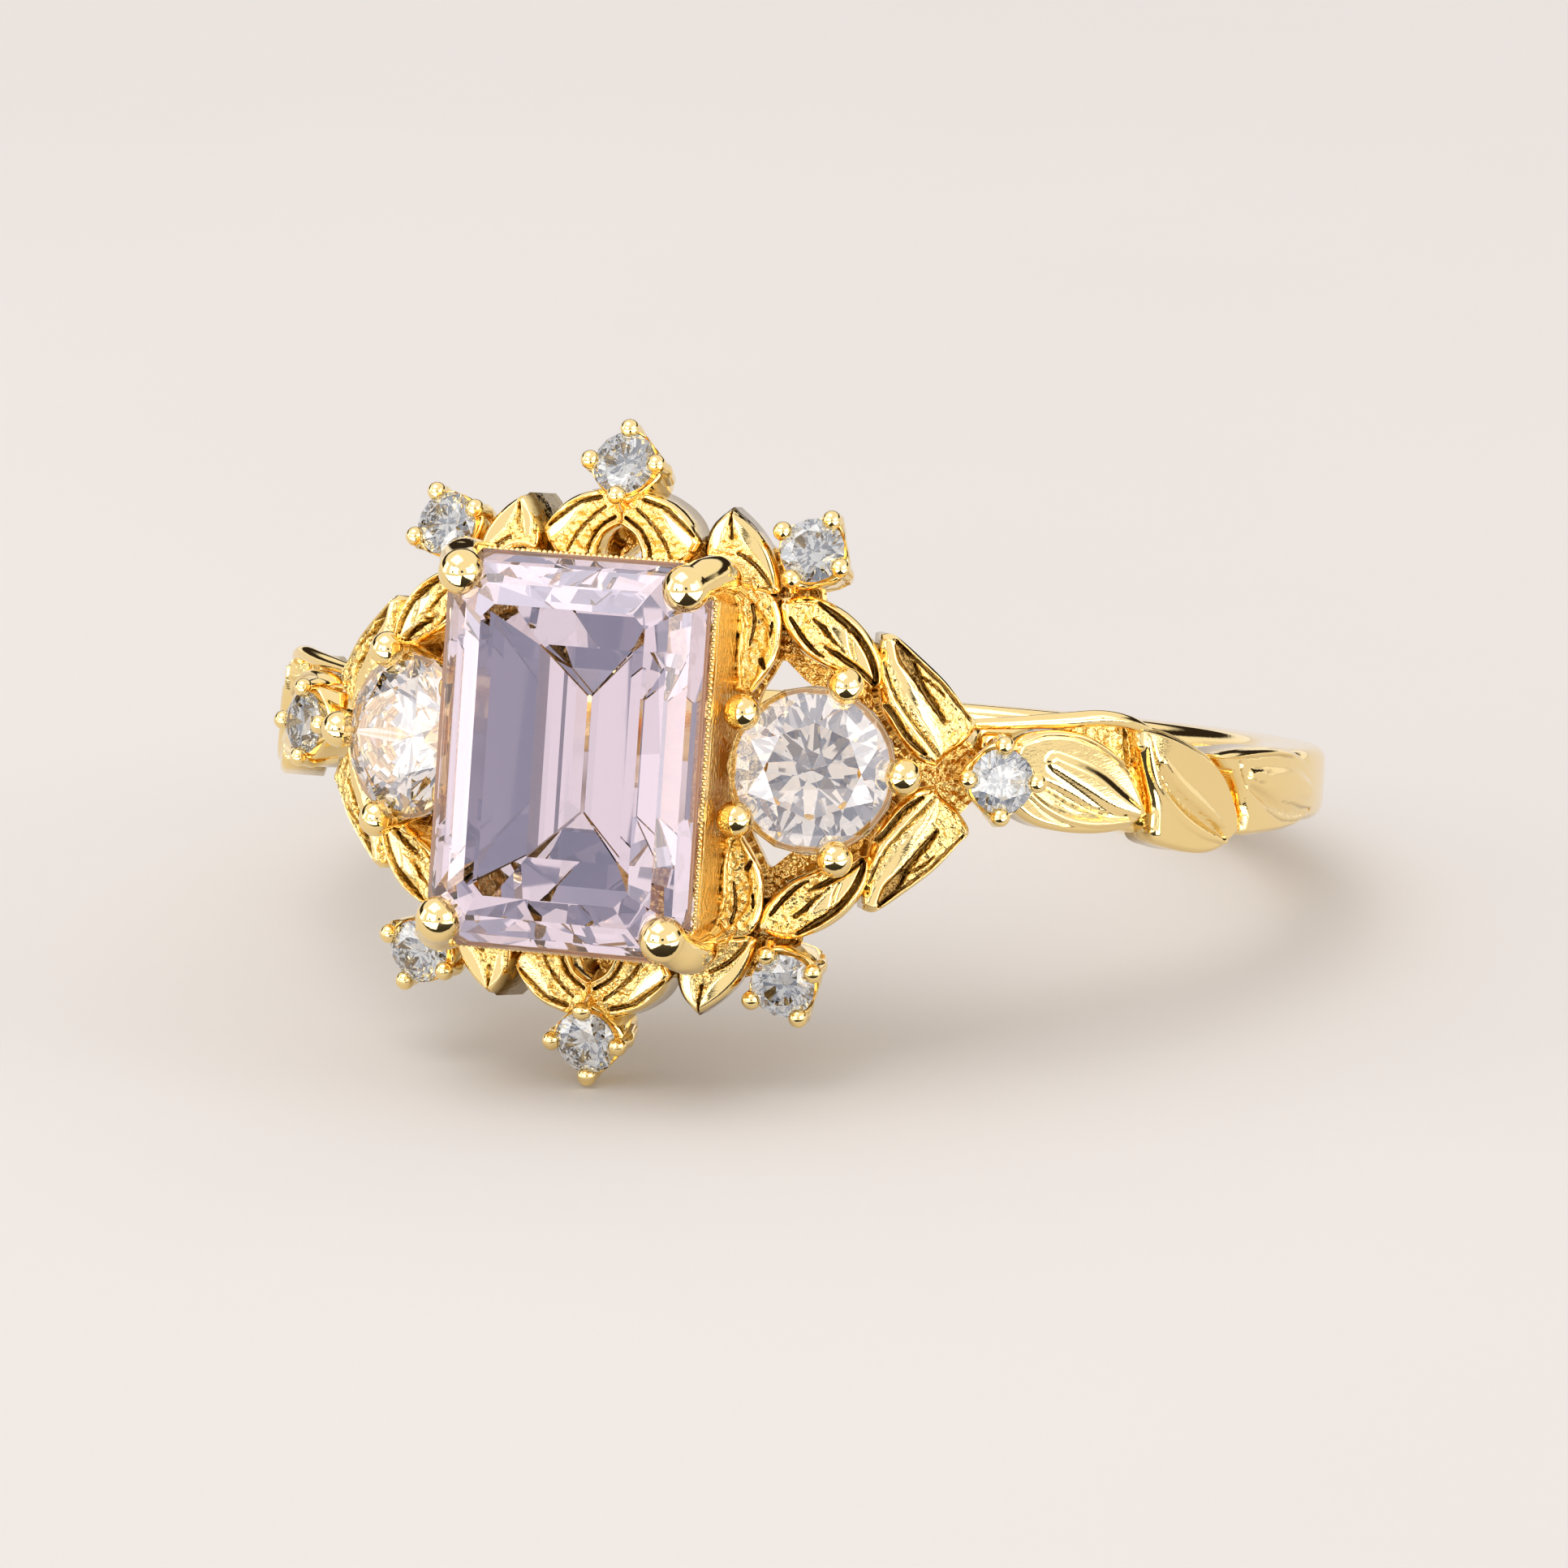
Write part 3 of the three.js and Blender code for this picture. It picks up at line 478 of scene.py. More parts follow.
# The head's leaves, for the upper right quarter. The other quarters are the same leaves turned over.
HEAD_LEAVES = {
    "v_leaf": {
        "out": [(0.05, 4.5), (0.45, 4.66), (0.95, 4.48), (1.3, 4.2), (1.5, 3.82)],
        "back": [(1.5, 3.82), (1.2, 3.42), (0.52, 3.42), (0.42, 3.62), (0.3, 3.86), (0.05, 4.02)],
        "sandy": 1.0,
        "marks": [
            ("panel", [(0.75, 4.4, 0.06), (1.1, 4.08, 0.2), (1.4, 3.8, 0.18)]),
            ("ridge", [(0.45, 4.6, 0.06), (0.95, 4.46, 0.08), (1.3, 4.17, 0.08), (1.47, 3.9, 0.05)]),
            ("groove", [(0.4, 4.52, 0.035), (0.8, 4.4, 0.05), (1.12, 4.17, 0.05), (1.38, 3.95, 0.035)]),
            ("ridge", [(0.5, 3.42, 0.08), (0.42, 3.64, 0.1), (0.28, 3.88, 0.1), (0.05, 4.04, 0.08)]),
            ("groove", [(0.62, 3.45, 0.035), (0.56, 3.7, 0.04), (0.4, 3.98, 0.04), (0.1, 4.18, 0.035)]),
            ("line", [(0.3, 4.35, 0.025), (0.6, 4.1, 0.03), (0.85, 3.8, 0.03), (1.0, 3.5, 0.02)]),
        ],
    },
    "point_leaf": {
        "out": [(1.58, 3.4), (1.56, 3.85), (1.7, 4.2), (2.02, 4.5)],
        "back": [(2.02, 4.5), (2.46, 4.16), (2.8, 3.72), (2.98, 3.08), (2.5, 3.06)],
        "sandy": 1.0,
        "marks": [
            ("panel", [(1.97, 4.36, 0.05), (1.83, 4.05, 0.13), (1.8, 3.78, 0.1)]),
            ("panel", [(2.07, 4.34, 0.06), (2.38, 4.0, 0.22), (2.68, 3.62, 0.15), (2.88, 3.25, 0.1),
                       (2.95, 3.05, 0.07)]),
            ("groove", [(1.57, 3.5, 0.07), (1.59, 3.9, 0.07), (1.76, 4.26, 0.07), (2.02, 4.5, 0.07),
                        (2.34, 4.3, 0.06), (2.52, 4.12, 0.03)]),
            ("groove", [(2.03, 4.42, 0.02), (2.04, 4.2, 0.035), (2.06, 3.95, 0.025)]),
            ("line", [(2.2, 3.7, 0.03), (2.5, 3.52, 0.04), (2.75, 3.25, 0.04), (2.85, 3.05, 0.02)]),
            ("ridge", [(1.62, 3.55, 0.05), (1.95, 3.6, 0.06), (2.25, 3.52, 0.06), (2.45, 3.32, 0.05),
                       (2.52, 3.1, 0.04)]),
            ("line", [(1.9, 3.5, 0.03), (2.22, 3.42, 0.04), (2.38, 3.2, 0.03)]),
        ],
    },
    "inner_leaf": {
        "out": [(2.22, 3.02), (2.55, 3.06), (2.88, 2.96), (3.02, 2.65), (3.05, 2.3), (3.0, 1.92),
                (2.8, 1.55), (2.6, 1.26)],
        "back": [(2.6, 1.26), (2.3, 1.32), (2.26, 1.9), (2.26, 2.5), (2.22, 3.02)],
        "sandy": 1.0,
        "round": 0.04,
        "rim": 0.02,
        "marks": [
            ("hollow", [(2.35, 2.9, 0.1), (2.6, 2.4, 0.25), (2.55, 1.8, 0.22), (2.5, 1.4, 0.1)]),
            ("ridge", [(2.86, 2.95, 0.07), (2.98, 2.62, 0.09), (3.0, 2.28, 0.08), (2.94, 1.92, 0.08),
                       (2.75, 1.56, 0.07), (2.6, 1.3, 0.05)]),
            ("ridge", [(2.35, 2.3, 0.03), (2.36, 1.9, 0.06), (2.38, 1.55, 0.03)]),
            ("groove", [(2.88, 2.5, 0.03), (2.86, 2.3, 0.025)]),
            ("groove", [(2.72, 1.84, 0.06), (2.8, 1.7, 0.03)]),
            ("line", [(2.5, 2.8, 0.03), (2.56, 2.5, 0.03), (2.5, 2.1, 0.02)]),
        ],
    },
    "arm_leaf": {
        "out": [(3.03, 2.96), (3.6, 3.02), (4.18, 2.8), (4.62, 2.42), (4.88, 1.95), (4.88, 1.48)],
        "back": [(4.88, 1.48), (4.45, 1.6), (4.05, 1.74), (3.5, 2.0), (3.14, 2.4), (3.03, 2.7)],
        "sandy": 1.0,
        "marks": [
            ("panel", [(3.95, 2.5, 0.08), (4.3, 2.22, 0.22), (4.55, 1.95, 0.18), (4.7, 1.7, 0.06)]),
            ("ridge", [(3.75, 2.96, 0.05), (4.18, 2.74, 0.08), (4.56, 2.4, 0.09), (4.8, 1.98, 0.09),
                       (4.84, 1.6, 0.06)]),
            ("groove", [(3.68, 2.93, 0.03), (4.0, 2.72, 0.07), (4.32, 2.48, 0.075), (4.6, 2.12, 0.075),
                        (4.74, 1.8, 0.07), (4.78, 1.6, 0.05)]),
            ("groove", [(3.86, 2.15, 0.035), (4.2, 1.95, 0.06), (4.5, 1.77, 0.065), (4.76, 1.55, 0.05)]),
            ("line", [(4.24, 2.48, 0.025), (4.28, 2.25, 0.03), (4.36, 2.0, 0.025)]),
            ("groove", [(3.62, 2.62, 0.03), (3.8, 2.48, 0.05), (3.95, 2.3, 0.03), (4.2, 2.1, 0.02)]),
            ("ridge", [(3.08, 2.85, 0.08), (3.13, 2.55, 0.09), (3.34, 2.25, 0.08), (3.58, 2.02, 0.08),
                       (3.9, 1.84, 0.06)]),
            ("groove", [(3.2, 2.62, 0.035), (3.42, 2.32, 0.045), (3.65, 2.08, 0.04), (3.82, 1.98, 0.025)]),
        ],
    },
    "shoulder_leaf": {
        "out": [(4.86, 2.44), (5.08, 2.44), (5.55, 2.1), (6.1, 1.64), (6.5, 1.18), (6.68, 0.95),
                (6.45, 0.6), (6.15, 0.38), (5.98, 0.18)],
        "back": [(5.98, 0.18), (5.62, 0.3), (5.25, 0.72), (4.96, 1.12), (4.86, 1.6), (4.84, 2.1)],
        "sandy": 1.0,
        "marks": [
            ("groove", [(5.1, 2.36, 0.03), (5.5, 2.02, 0.04), (5.95, 1.66, 0.04), (6.3, 1.3, 0.045),
                        (6.56, 1.03, 0.035)]),
            ("groove", [(5.13, 2.26, 0.08), (5.27, 2.06, 0.17), (5.42, 1.86, 0.14), (5.54, 1.66, 0.09),
                        (5.76, 1.37, 0.08), (5.94, 1.15, 0.07), (6.06, 0.97, 0.035)]),
            ("line", [(5.47, 1.75, 0.025), (5.7, 1.68, 0.03), (5.93, 1.52, 0.025), (6.02, 1.42, 0.02)]),
            ("ridge", [(4.96, 2.3, 0.14), (5.1, 1.95, 0.18), (5.33, 1.55, 0.22), (5.62, 1.12, 0.22),
                       (5.86, 0.75, 0.17), (6.0, 0.42, 0.1)]),
            ("line", [(4.9, 1.95, 0.025), (5.02, 1.6, 0.03), (5.22, 1.24, 0.035), (5.5, 0.89, 0.035),
                      (5.8, 0.58, 0.035), (6.0, 0.35, 0.02)]),
            ("ridge", [(4.9, 1.7, 0.06), (5.08, 1.32, 0.09), (5.35, 0.95, 0.09), (5.65, 0.62, 0.08),
                       (5.92, 0.3, 0.05)]),
            ("groove", [(4.98, 1.2, 0.05), (5.14, 1.04, 0.07), (5.38, 0.7, 0.06), (5.58, 0.51, 0.055),
                        (5.75, 0.38, 0.03)]),
        ],
    },
}
HEAD_FOOT = 8.9
HEAD_TOP = 10.0
QUARTERS = {"upper_right": (1, 1), "upper_left": (-1, 1), "lower_right": (1, -1), "lower_left": (-1, -1)}
for kind, leaf in HEAD_LEAVES.items():
    surface = relief(leaf, HEAD_TOP)
    for quarter, signs in QUARTERS.items():
        bm = bmesh.new()
        raise_leaf(bm, surface, HEAD_FOOT, *signs)
        set_down(f"fine_{kind}_{quarter}", bm, relief_gold, [f"{kind}_{quarter}"])

# ---------------------------------------------------------------- gallery
# The gallery is the curved plate under the leaves that joins the head to the band. It is pierced under
# each stone, so that light reaches it and it can be cleaned.
GALLERY_OUTER = 8.95
GALLERY_WALL = 0.5
GALLERY_SLICE = 0.3  # width of the strips in which the flat plate is bent round the finger
SHADED = 0.2  # how dark the plate is between the leaves
GALLERY_EDGE = [(0, 4.55), (0.6, 4.4), (1.5, 3.95), (2.1, 4.2), (2.8, 3.8), (3.4, 3.85), (3.75, 3.5),
                (3.9, 2.85), (4.5, 2.4), (5.3, 2.05), (6.3, 1.2), (7.1, 0.4), (7.28, 0)]
CENTRE_WINDOW = [(0, 3.75), (0.4, 3.45), (1.0, 3.1), (1.75, 2.9), (1.9, 2.3), (1.9, 1.2), (1.9, 0)]
SIDE_WINDOW = [(2.6, 0), (2.55, 0.7), (2.66, 1.2), (2.9, 1.6), (3.08, 1.84), (3.3, 1.7), (3.62, 1.46),
               (4.2, 1.2), (4.7, 0.8), (4.95, 0)]


def closed_line(bm, points):
    """Edges from point to point and back to the first, in the flat."""
    verts = [bm.verts.new((along, height, 0)) for along, height in points]
    return [bm.edges.new((verts[i - 1], verts[i])) for i in range(len(verts))]


def four_quarters(quarter):
    """A closed line from its upper right quarter, which starts at the top."""
    line = [tuple(point) for point in smooth_line(quarter, steps=4)]
    right = line + [(along, -height) for along, height in line[-2::-1]]
    return right + [(-along, height) for along, height in right[-2:0:-1]]


def side_window(sign):
    """The closed line of the window under a side stone."""
    line = [tuple(point) for point in smooth_line(SIDE_WINDOW, steps=4)]
    return [(sign * a, h) for a, h in line] + [(sign * a, -h) for a, h in line[-2:0:-1]]


bm = bmesh.new()
recess = bm.verts.layers.float.new("recess")
crevice = bm.verts.layers.float.new("crevice")
edges = closed_line(bm, four_quarters(GALLERY_EDGE)) + closed_line(bm, four_quarters(CENTRE_WINDOW))
edges += closed_line(bm, side_window(1)) + closed_line(bm, side_window(-1))
bmesh.ops.triangle_fill(bm, use_beauty=True, use_dissolve=False, edges=edges)
for cut in range(-24, 25):
    everything = bm.verts[:] + bm.edges[:] + bm.faces[:]
    bend = (cut * GALLERY_SLICE, 0, 0)
    bmesh.ops.bisect_plane(bm, geom=everything, dist=1e-5, plane_co=bend, plane_no=(1, 0, 0))
for vert in bm.verts:
    vert.co = on_ring(vert.co.x, vert.co.y, GALLERY_OUTER)
    vert[recess] = 1.0
    vert[crevice] = SHADED
bmesh.ops.recalc_face_normals(bm, faces=bm.faces)
bmesh.ops.solidify(bm, geom=bm.faces[:], thickness=GALLERY_WALL)
bmesh.ops.recalc_face_normals(bm, faces=bm.faces)
for vert in bm.verts:
    if math.hypot(vert.co.x, vert.co.y) < GALLERY_OUTER - GALLERY_WALL / 2:
        vert[recess] = vert[crevice] = 0.0
set_down("fine_gallery", bm, relief_gold, ["gallery"], smooth=False)

# ---------------------------------------------------------------- cut stones
# Every stone is a cut crystal. The centre one is a pale lilac beryl cut in steps, and the round ones are
# brilliants. `depth` is what is left of the light after each reflection inside the stone.
STONE_LOOKS = {
    "lilac_stone": {"ior": 2.3, "tint": (0.92, 0.78, 0.88, 1), "zone": (0.89, 0.73, 0.86, 1),
                    "depth": (0.86, 0.80, 0.87, 1)},
    "blush_stone": {"ior": 2.4, "tint": (0.99, 0.93, 0.90, 1), "zone": (0.98, 0.90, 0.86, 1),
                    "depth": (0.93, 0.89, 0.87, 1)},
    "grey_stone": {"ior": 2.4, "tint": (0.72, 0.73, 0.73, 1), "zone": (0.62, 0.64, 0.65, 1),
                   "depth": (0.88, 0.88, 0.86, 1)},
}


def crystal(name, ior, tint, zone, depth):
    """Clear cut crystal, a little more coloured in some growth zones than in others."""
    material = bpy.data.materials.new(name)
    material.use_nodes = True
    tree = material.node_tree
    shader = tree.nodes["Principled BSDF"]
    shader.inputs["Transmission Weight"].default_value = 1.0
    shader.inputs["IOR"].default_value = ior
    shader.inputs["Specular Tint"].default_value = depth
    place = put(tree, "ShaderNodeTexCoord").outputs["Object"]
    growth = put(tree, "ShaderNodeTexNoise", Vector=place, Scale=320.0, Detail=1.0).outputs["Fac"]
    tree.links.new(colour_mix(tree, growth, tint, zone), shader.inputs["Base Color"])
    polish = put(tree, "ShaderNodeTexNoise", Vector=place, Scale=2600.0).outputs["Fac"]
    tree.links.new(math_node(tree, "MULTIPLY", polish, 0.012), shader.inputs["Roughness"])
    return material


stone_materials = {slot: crystal(slot.replace("_", " "), **look) for slot, look in STONE_LOOKS.items()}

# Rings of corners from the table down to the culet. Each has a radius and a height as shares of the stone's
# radius, a number of corners and a turn in degrees.
BRILLIANT_RINGS = [
    (0.57, 0.32, 8, 0), (0.80, 0.21, 8, 22.5), (1, 0.03, 16, 0), (1, -0.03, 16, 0), (0.24, -0.70, 8, 22.5),
    (0.02, -0.874, 8, 0),
]


def brilliant(diameter, place):
    """A round brilliant with its girdle at the seat's origin."""
    radius = diameter / 2
    bm = bmesh.new()
    for share, height, corners, turn in BRILLIANT_RINGS:
        ring = Matrix.Translation((0, 0, height * radius)) @ Matrix.Rotation(math.radians(turn), 4, "Z")
        bmesh.ops.create_circle(bm, segments=corners, radius=share * radius, matrix=ring)
    cut_hull(bm)
    bmesh.ops.transform(bm, matrix=place, verts=bm.verts)
    return bm


def cut_hull(bm):
    """Turns rings of corners into the facets between them."""
    bmesh.ops.delete(bm, geom=bm.edges[:], context="EDGES_FACES")
    hull = bmesh.ops.convex_hull(bm, input=bm.verts[:])
    loose = {part for part in hull["geom_interior"] if isinstance(part, bmesh.types.BMVert)}
    bmesh.ops.delete(bm, geom=list(loose), context="VERTS")
    bmesh.ops.dissolve_limit(bm, angle_limit=math.radians(0.5), verts=bm.verts, edges=bm.edges)
    bmesh.ops.recalc_face_normals(bm, faces=bm.faces)


# ---------------------------------------------------------------- side stones
# Each round side stone sits in a tapered collet, open underneath, and is held by five ball claws that are
# soldered to the outside of the collet.
SIDE_STONE = 3.0
SIDE_SEAT = {"across": 3.86, "radius": 10.54}
COLLET_WALL = [(0.90, -1.6), (1.12, -1.6), (1.36, -0.5), (1.42, -0.18), (1.38, -0.1), (1.28, -0.1),
               (1.2, -0.2), (1.14, -0.5)]
SIDE_CLAW_ANGLES = [0, 72, 144, 216, 288]
SIDE_CLAW_PATH = [(1.14, -1.3), (1.42, -0.6), (1.62, -0.2), (1.6, 0.18)]  # distance out, height
SIDE_CLAW = {"arm": 0.22, "ball": 0.33}
BALL_STEPS = 16


def seat(across, height, radius, tilt=0.0, turn=0.0, yaw=0.0):
    """The axes of a setting: Z points away from the finger, and Y up the finger axis."""
    azimuth = math.asin(across / radius)
    place = Vector((across, -radius * math.cos(azimuth), height))
    azimuth += math.radians(yaw)
    outward = Vector((math.sin(azimuth), -math.cos(azimuth), 0)) * math.cos(math.radians(tilt))
    outward.z = math.sin(math.radians(tilt))
    side = Vector((0, 0, 1)).cross(outward).normalized()
    axes = Matrix((side, outward.cross(side), outward)).transposed().to_4x4()
    return Matrix.Translation(place) @ axes @ Matrix.Rotation(math.radians(turn), 4, "Z")


def spun(bm, profile, steps):
    """Spins a closed profile of (radius, height) round the seat's axis."""
    verts = [bm.verts.new((radius, 0, height)) for radius, height in profile]
    edges = [bm.edges.new((verts[i - 1], verts[i])) for i in range(len(verts))]
    bmesh.ops.spin(
        bm, geom=verts + edges, cent=(0, 0, 0), axis=(0, 0, 1), dvec=(0, 0, 0),
        angle=math.radians(360), steps=steps, use_merge=True,
    )


def ball_claw(bm, path, arm, ball, sides=24):
    """A claw: a wire along the path, melted into a ball round its last point."""
    arrival = (path[-1] - path[-2]).normalized()
    neck = math.asin(min(arm / ball, 1.0))
    points = list(path[:-1])
    radii = [arm] * len(points)
    for step in range(BALL_STEPS + 1):
        angle = neck + (math.radians(178) - neck) * step / BALL_STEPS
        points.append(path[-1] - arrival * ball * math.cos(angle))
        radii.append(ball * math.sin(angle))
    draw_wire(bm, points, radii, sides)


for side, sign in SIDES.items():
    place = seat(sign * SIDE_SEAT["across"], 0, SIDE_SEAT["radius"])
    bm = bmesh.new()
    spun(bm, COLLET_WALL, 48)
    for degrees in SIDE_CLAW_ANGLES:
        angle = math.radians(degrees + (0 if sign > 0 else 180))
        outward = Vector((math.cos(angle), math.sin(angle), 0))
        path = [outward * reach + Vector((0, 0, height)) for reach, height in SIDE_CLAW_PATH]
        ball_claw(bm, path, **SIDE_CLAW)
    bmesh.ops.recalc_face_normals(bm, faces=bm.faces)
    bmesh.ops.transform(bm, matrix=place, verts=bm.verts)
    set_down(f"fine_side_collet_{side}", bm, polished_gold, [f"side_collet_{side}"])
    stone = brilliant(SIDE_STONE, place)
    set_down(f"cut_side_stone_{side}", stone, stone_materials["blush_stone"],
             [f"side_stone_{side}"], smooth=False)

# ---------------------------------------------------------------- accent stones
# Eight small brilliants sit in square cups at the points of the halo, each held by four ball claws at the
# corners of its cup.
ACCENT_STONE = 1.16
ACCENTS = {
    "north": {"across": 0, "height": 5.14, "radius": 9.98, "tilt": 20},
    "south": {"across": 0, "height": -5.14, "radius": 9.98, "tilt": -20},
    "east": {"across": 6.75, "height": 0, "radius": 10.45, "yaw": -6},
    "west": {"across": -6.75, "height": 0, "radius": 10.45, "yaw": 6},
    "north_east": {"across": 3.5, "height": 3.84, "radius": 10.2, "tilt": 15, "turn": -28, "yaw": -12},
    "north_west": {"across": -3.5, "height": 3.84, "radius": 10.2, "tilt": 15, "turn": 28, "yaw": 12},
    "south_east": {"across": 3.5, "height": -3.84, "radius": 10.2, "tilt": -15, "turn": 28, "yaw": -12},
    "south_west": {"across": -3.5, "height": -3.84, "radius": 10.2, "tilt": -15, "turn": -28, "yaw": 12},
}
# The cup's outside as (corner distance, height), then its seat as (radius, height).
CUP_LEVELS = [(0.62, -1.2), (0.7, -1.05), (0.79, -0.5), (0.85, -0.2), (0.82, -0.12)]
CUP_SEAT = [(0.61, -0.12), (0.58, -0.17), (0.4, -0.45), (0.2, -0.6)]
CUP_CORNER = 0.4  # rounding, as a share of the corner distance
CUP_CLAW_PATH = [(0.6, -0.7), (0.7, -0.2), (0.63, 0.06)]  # distance out, height
CUP_CLAW = {"arm": 0.13, "ball": 0.175, "sides": 18}
for point, where in ACCENTS.items():
    place = seat(**where)
    bm = bmesh.new()
    loops = []
    for corner, height in CUP_LEVELS:
        square = bmesh.ops.create_grid(bm, x_segments=1, y_segments=1, size=corner / math.sqrt(2))["verts"]
        on_corner = Matrix.Translation((0, 0, height)) @ Matrix.Rotation(math.pi / 4, 4, "Z")
        bmesh.ops.transform(bm, matrix=on_corner, verts=square)
        rounded = bmesh.ops.bevel(
            bm, geom=square, offset=corner * CUP_CORNER, affect="VERTICES", segments=3, profile=0.5,
            material=-1,
        )["verts"]
        loops.append(list(rounded[0].link_faces[0].edges))
    for radius, height in CUP_SEAT:
        ring = bmesh.ops.create_circle(bm, cap_ends=True, segments=24, radius=radius,
                                       matrix=Matrix.Translation((0, 0, height)))["verts"]
        loops.append(list(ring[0].link_faces[0].edges))
    inner = [loop[0].link_faces[0] for loop in loops[1:-1]]
    bmesh.ops.delete(bm, geom=inner, context="FACES_ONLY")
    for low, high in zip(loops, loops[1:]):
        bmesh.ops.bridge_loops(bm, edges=low + high)
    for quarter_turn in range(4):
        angle = math.radians(90 * quarter_turn)
        outward = Vector((math.cos(angle), math.sin(angle), 0))
        path = [outward * reach + Vector((0, 0, height)) for reach, height in CUP_CLAW_PATH]
        ball_claw(bm, path, **CUP_CLAW)
    bmesh.ops.recalc_face_normals(bm, faces=bm.faces)
    bmesh.ops.transform(bm, matrix=place, verts=bm.verts)
    set_down(f"fine_accent_cup_{point}", bm, polished_gold, [f"accent_cup_{point}"])
    stone = brilliant(ACCENT_STONE, place)
    set_down(f"cut_accent_stone_{point}", stone, stone_materials["grey_stone"],
             [f"accent_stone_{point}"], smooth=False)

# ---------------------------------------------------------------- centre stone
# The centre stone is an emerald cut: a rectangle with cut corners that steps down to a keel. It sits in a
# box collet with a milgrained edge, and a ball claw holds each corner.
STONE_HALF = (2.5, 3.5)
STONE_CORNER = 0.62
CENTRE_SEAT = seat(0, 0, radius=11.62)
# Each step is (inset from the girdle, height). The cut corners shrink towards the table and the keel.
STEPS = [
    (0.95, 0.73), (0.58, 0.56), (0.25, 0.33), (0, 0.05),
    (0, -0.05), (0.8, -1.2), (1.62, -2.15), (2.46, -2.9),
]
CORNER_TAPER = 0.4
LEAST_CORNER = 0.02


def cut_corners(bm, half_width, half_length, corner, height):
    """A rectangle with cut corners, lying flat at a height."""
    made = bmesh.ops.create_grid(bm, x_segments=1, y_segments=1, size=1)["verts"]
    bmesh.ops.transform(bm, matrix=Matrix.Diagonal((half_width, half_length, 1, 1)), verts=made)
    bmesh.ops.transform(bm, matrix=Matrix.Translation((0, 0, height)), verts=made)
    cut = bmesh.ops.bevel(
        bm, geom=made, offset=corner, affect="VERTICES", segments=1, profile=0.5, material=-1,
    )
    return cut["verts"]


bm = bmesh.new()
for inset, height in STEPS:
    corner = max(STONE_CORNER - CORNER_TAPER * inset, LEAST_CORNER)
    cut_corners(bm, STONE_HALF[0] - inset, STONE_HALF[1] - inset, corner, height)
cut_hull(bm)
bmesh.ops.transform(bm, matrix=CENTRE_SEAT, verts=bm.verts)
set_down("cut_centre_stone", bm, stone_materials["lilac_stone"], ["centre_stone"],
         smooth=False)

# Box collet: outside from the rim to the foot, then back up inside, as (inset from the girdle, height).
COLLET_LEVELS = [
    (0.02, -0.12), (0.0, -0.3), (0.03, -0.45), (0.34, -2.5), (0.66, -2.5), (0.46, -1.0), (0.3, -0.2),
]
COLLET_TAPER = 0.35
COLLET_EDGE = 0.03
POLISHED_RIM = 0.4  # depth of the polished rim, below which the wall is left as cast
BEAD_HEIGHT = -0.13
BEAD_RADIUS = 0.05
BEAD_PITCH = 0.105

bm = bmesh.new()
recess = bm.verts.layers.float.new("recess")
loops = []
for inset, height in COLLET_LEVELS:
    corner = STONE_CORNER - COLLET_TAPER * inset
    verts = cut_corners(bm, STONE_HALF[0] - inset, STONE_HALF[1] - inset, corner, height)
    face = verts[0].link_faces[0]
    loops.append(list(face.edges))
    bmesh.ops.delete(bm, geom=[face], context="FACES_ONLY")
for low, high in zip(loops, loops[1:] + loops[:1]):
    bmesh.ops.bridge_loops(bm, edges=low + high)
bmesh.ops.recalc_face_normals(bm, faces=bm.faces)
bmesh.ops.bevel(
    bm, geom=bm.edges[:], offset=COLLET_EDGE, affect="EDGES", segments=2, profile=0.5, material=-1,
)
for vert in bm.verts:
    vert[recess] = 1.0 if vert.co.z < -POLISHED_RIM else 0.0
half_width, half_length = STONE_HALF
rim = [(half_width, half_length - STONE_CORNER), (half_width, STONE_CORNER - half_length),
       (half_width - STONE_CORNER, -half_length), (STONE_CORNER - half_width, -half_length),
       (-half_width, STONE_CORNER - half_length), (-half_width, half_length - STONE_CORNER),
       (STONE_CORNER - half_width, half_length), (half_width - STONE_CORNER, half_length)]
for start, end in zip(rim, rim[1:] + rim[:1]):
    start, end = Vector(start), Vector(end)
    count = round((end - start).length / BEAD_PITCH)
    for i in range(count):
        middle = start.lerp(end, (i + 0.5) / count)
        here = Matrix.Translation((middle.x, middle.y, BEAD_HEIGHT))
        bmesh.ops.create_icosphere(bm, subdivisions=1, radius=BEAD_RADIUS, matrix=here)
bmesh.ops.transform(bm, matrix=CENTRE_SEAT, verts=bm.verts)
set_down("fine_centre_basket", bm, relief_gold, ["centre_basket"])

CLAW = {"arm": 0.36, "ball": 0.42, "sides": 32}
CLAW_TIP = (2.12, 3.06, 0.36)
CLAW_PATH = [(0.1, -1.84), (0.2, -1.2), (0.26, -0.6), (0.18, -0.3), (0, 0)]  # outward, up from the tip
for quarter, (along_sign, height_sign) in QUARTERS.items():
    bm = bmesh.new()
    tip = Vector((CLAW_TIP[0] * along_sign, CLAW_TIP[1] * height_sign, CLAW_TIP[2]))
    outward = Vector((along_sign, height_sign, 0))
    path = [tip + outward * reach + Vector((0, 0, height)) for reach, height in CLAW_PATH]
    ball_claw(bm, path, **CLAW)
    bmesh.ops.recalc_face_normals(bm, faces=bm.faces)
    bmesh.ops.transform(bm, matrix=CENTRE_SEAT, verts=bm.verts)
    set_down(f"fine_centre_claw_{quarter}", bm, polished_gold, [f"centre_claw_{quarter}"])

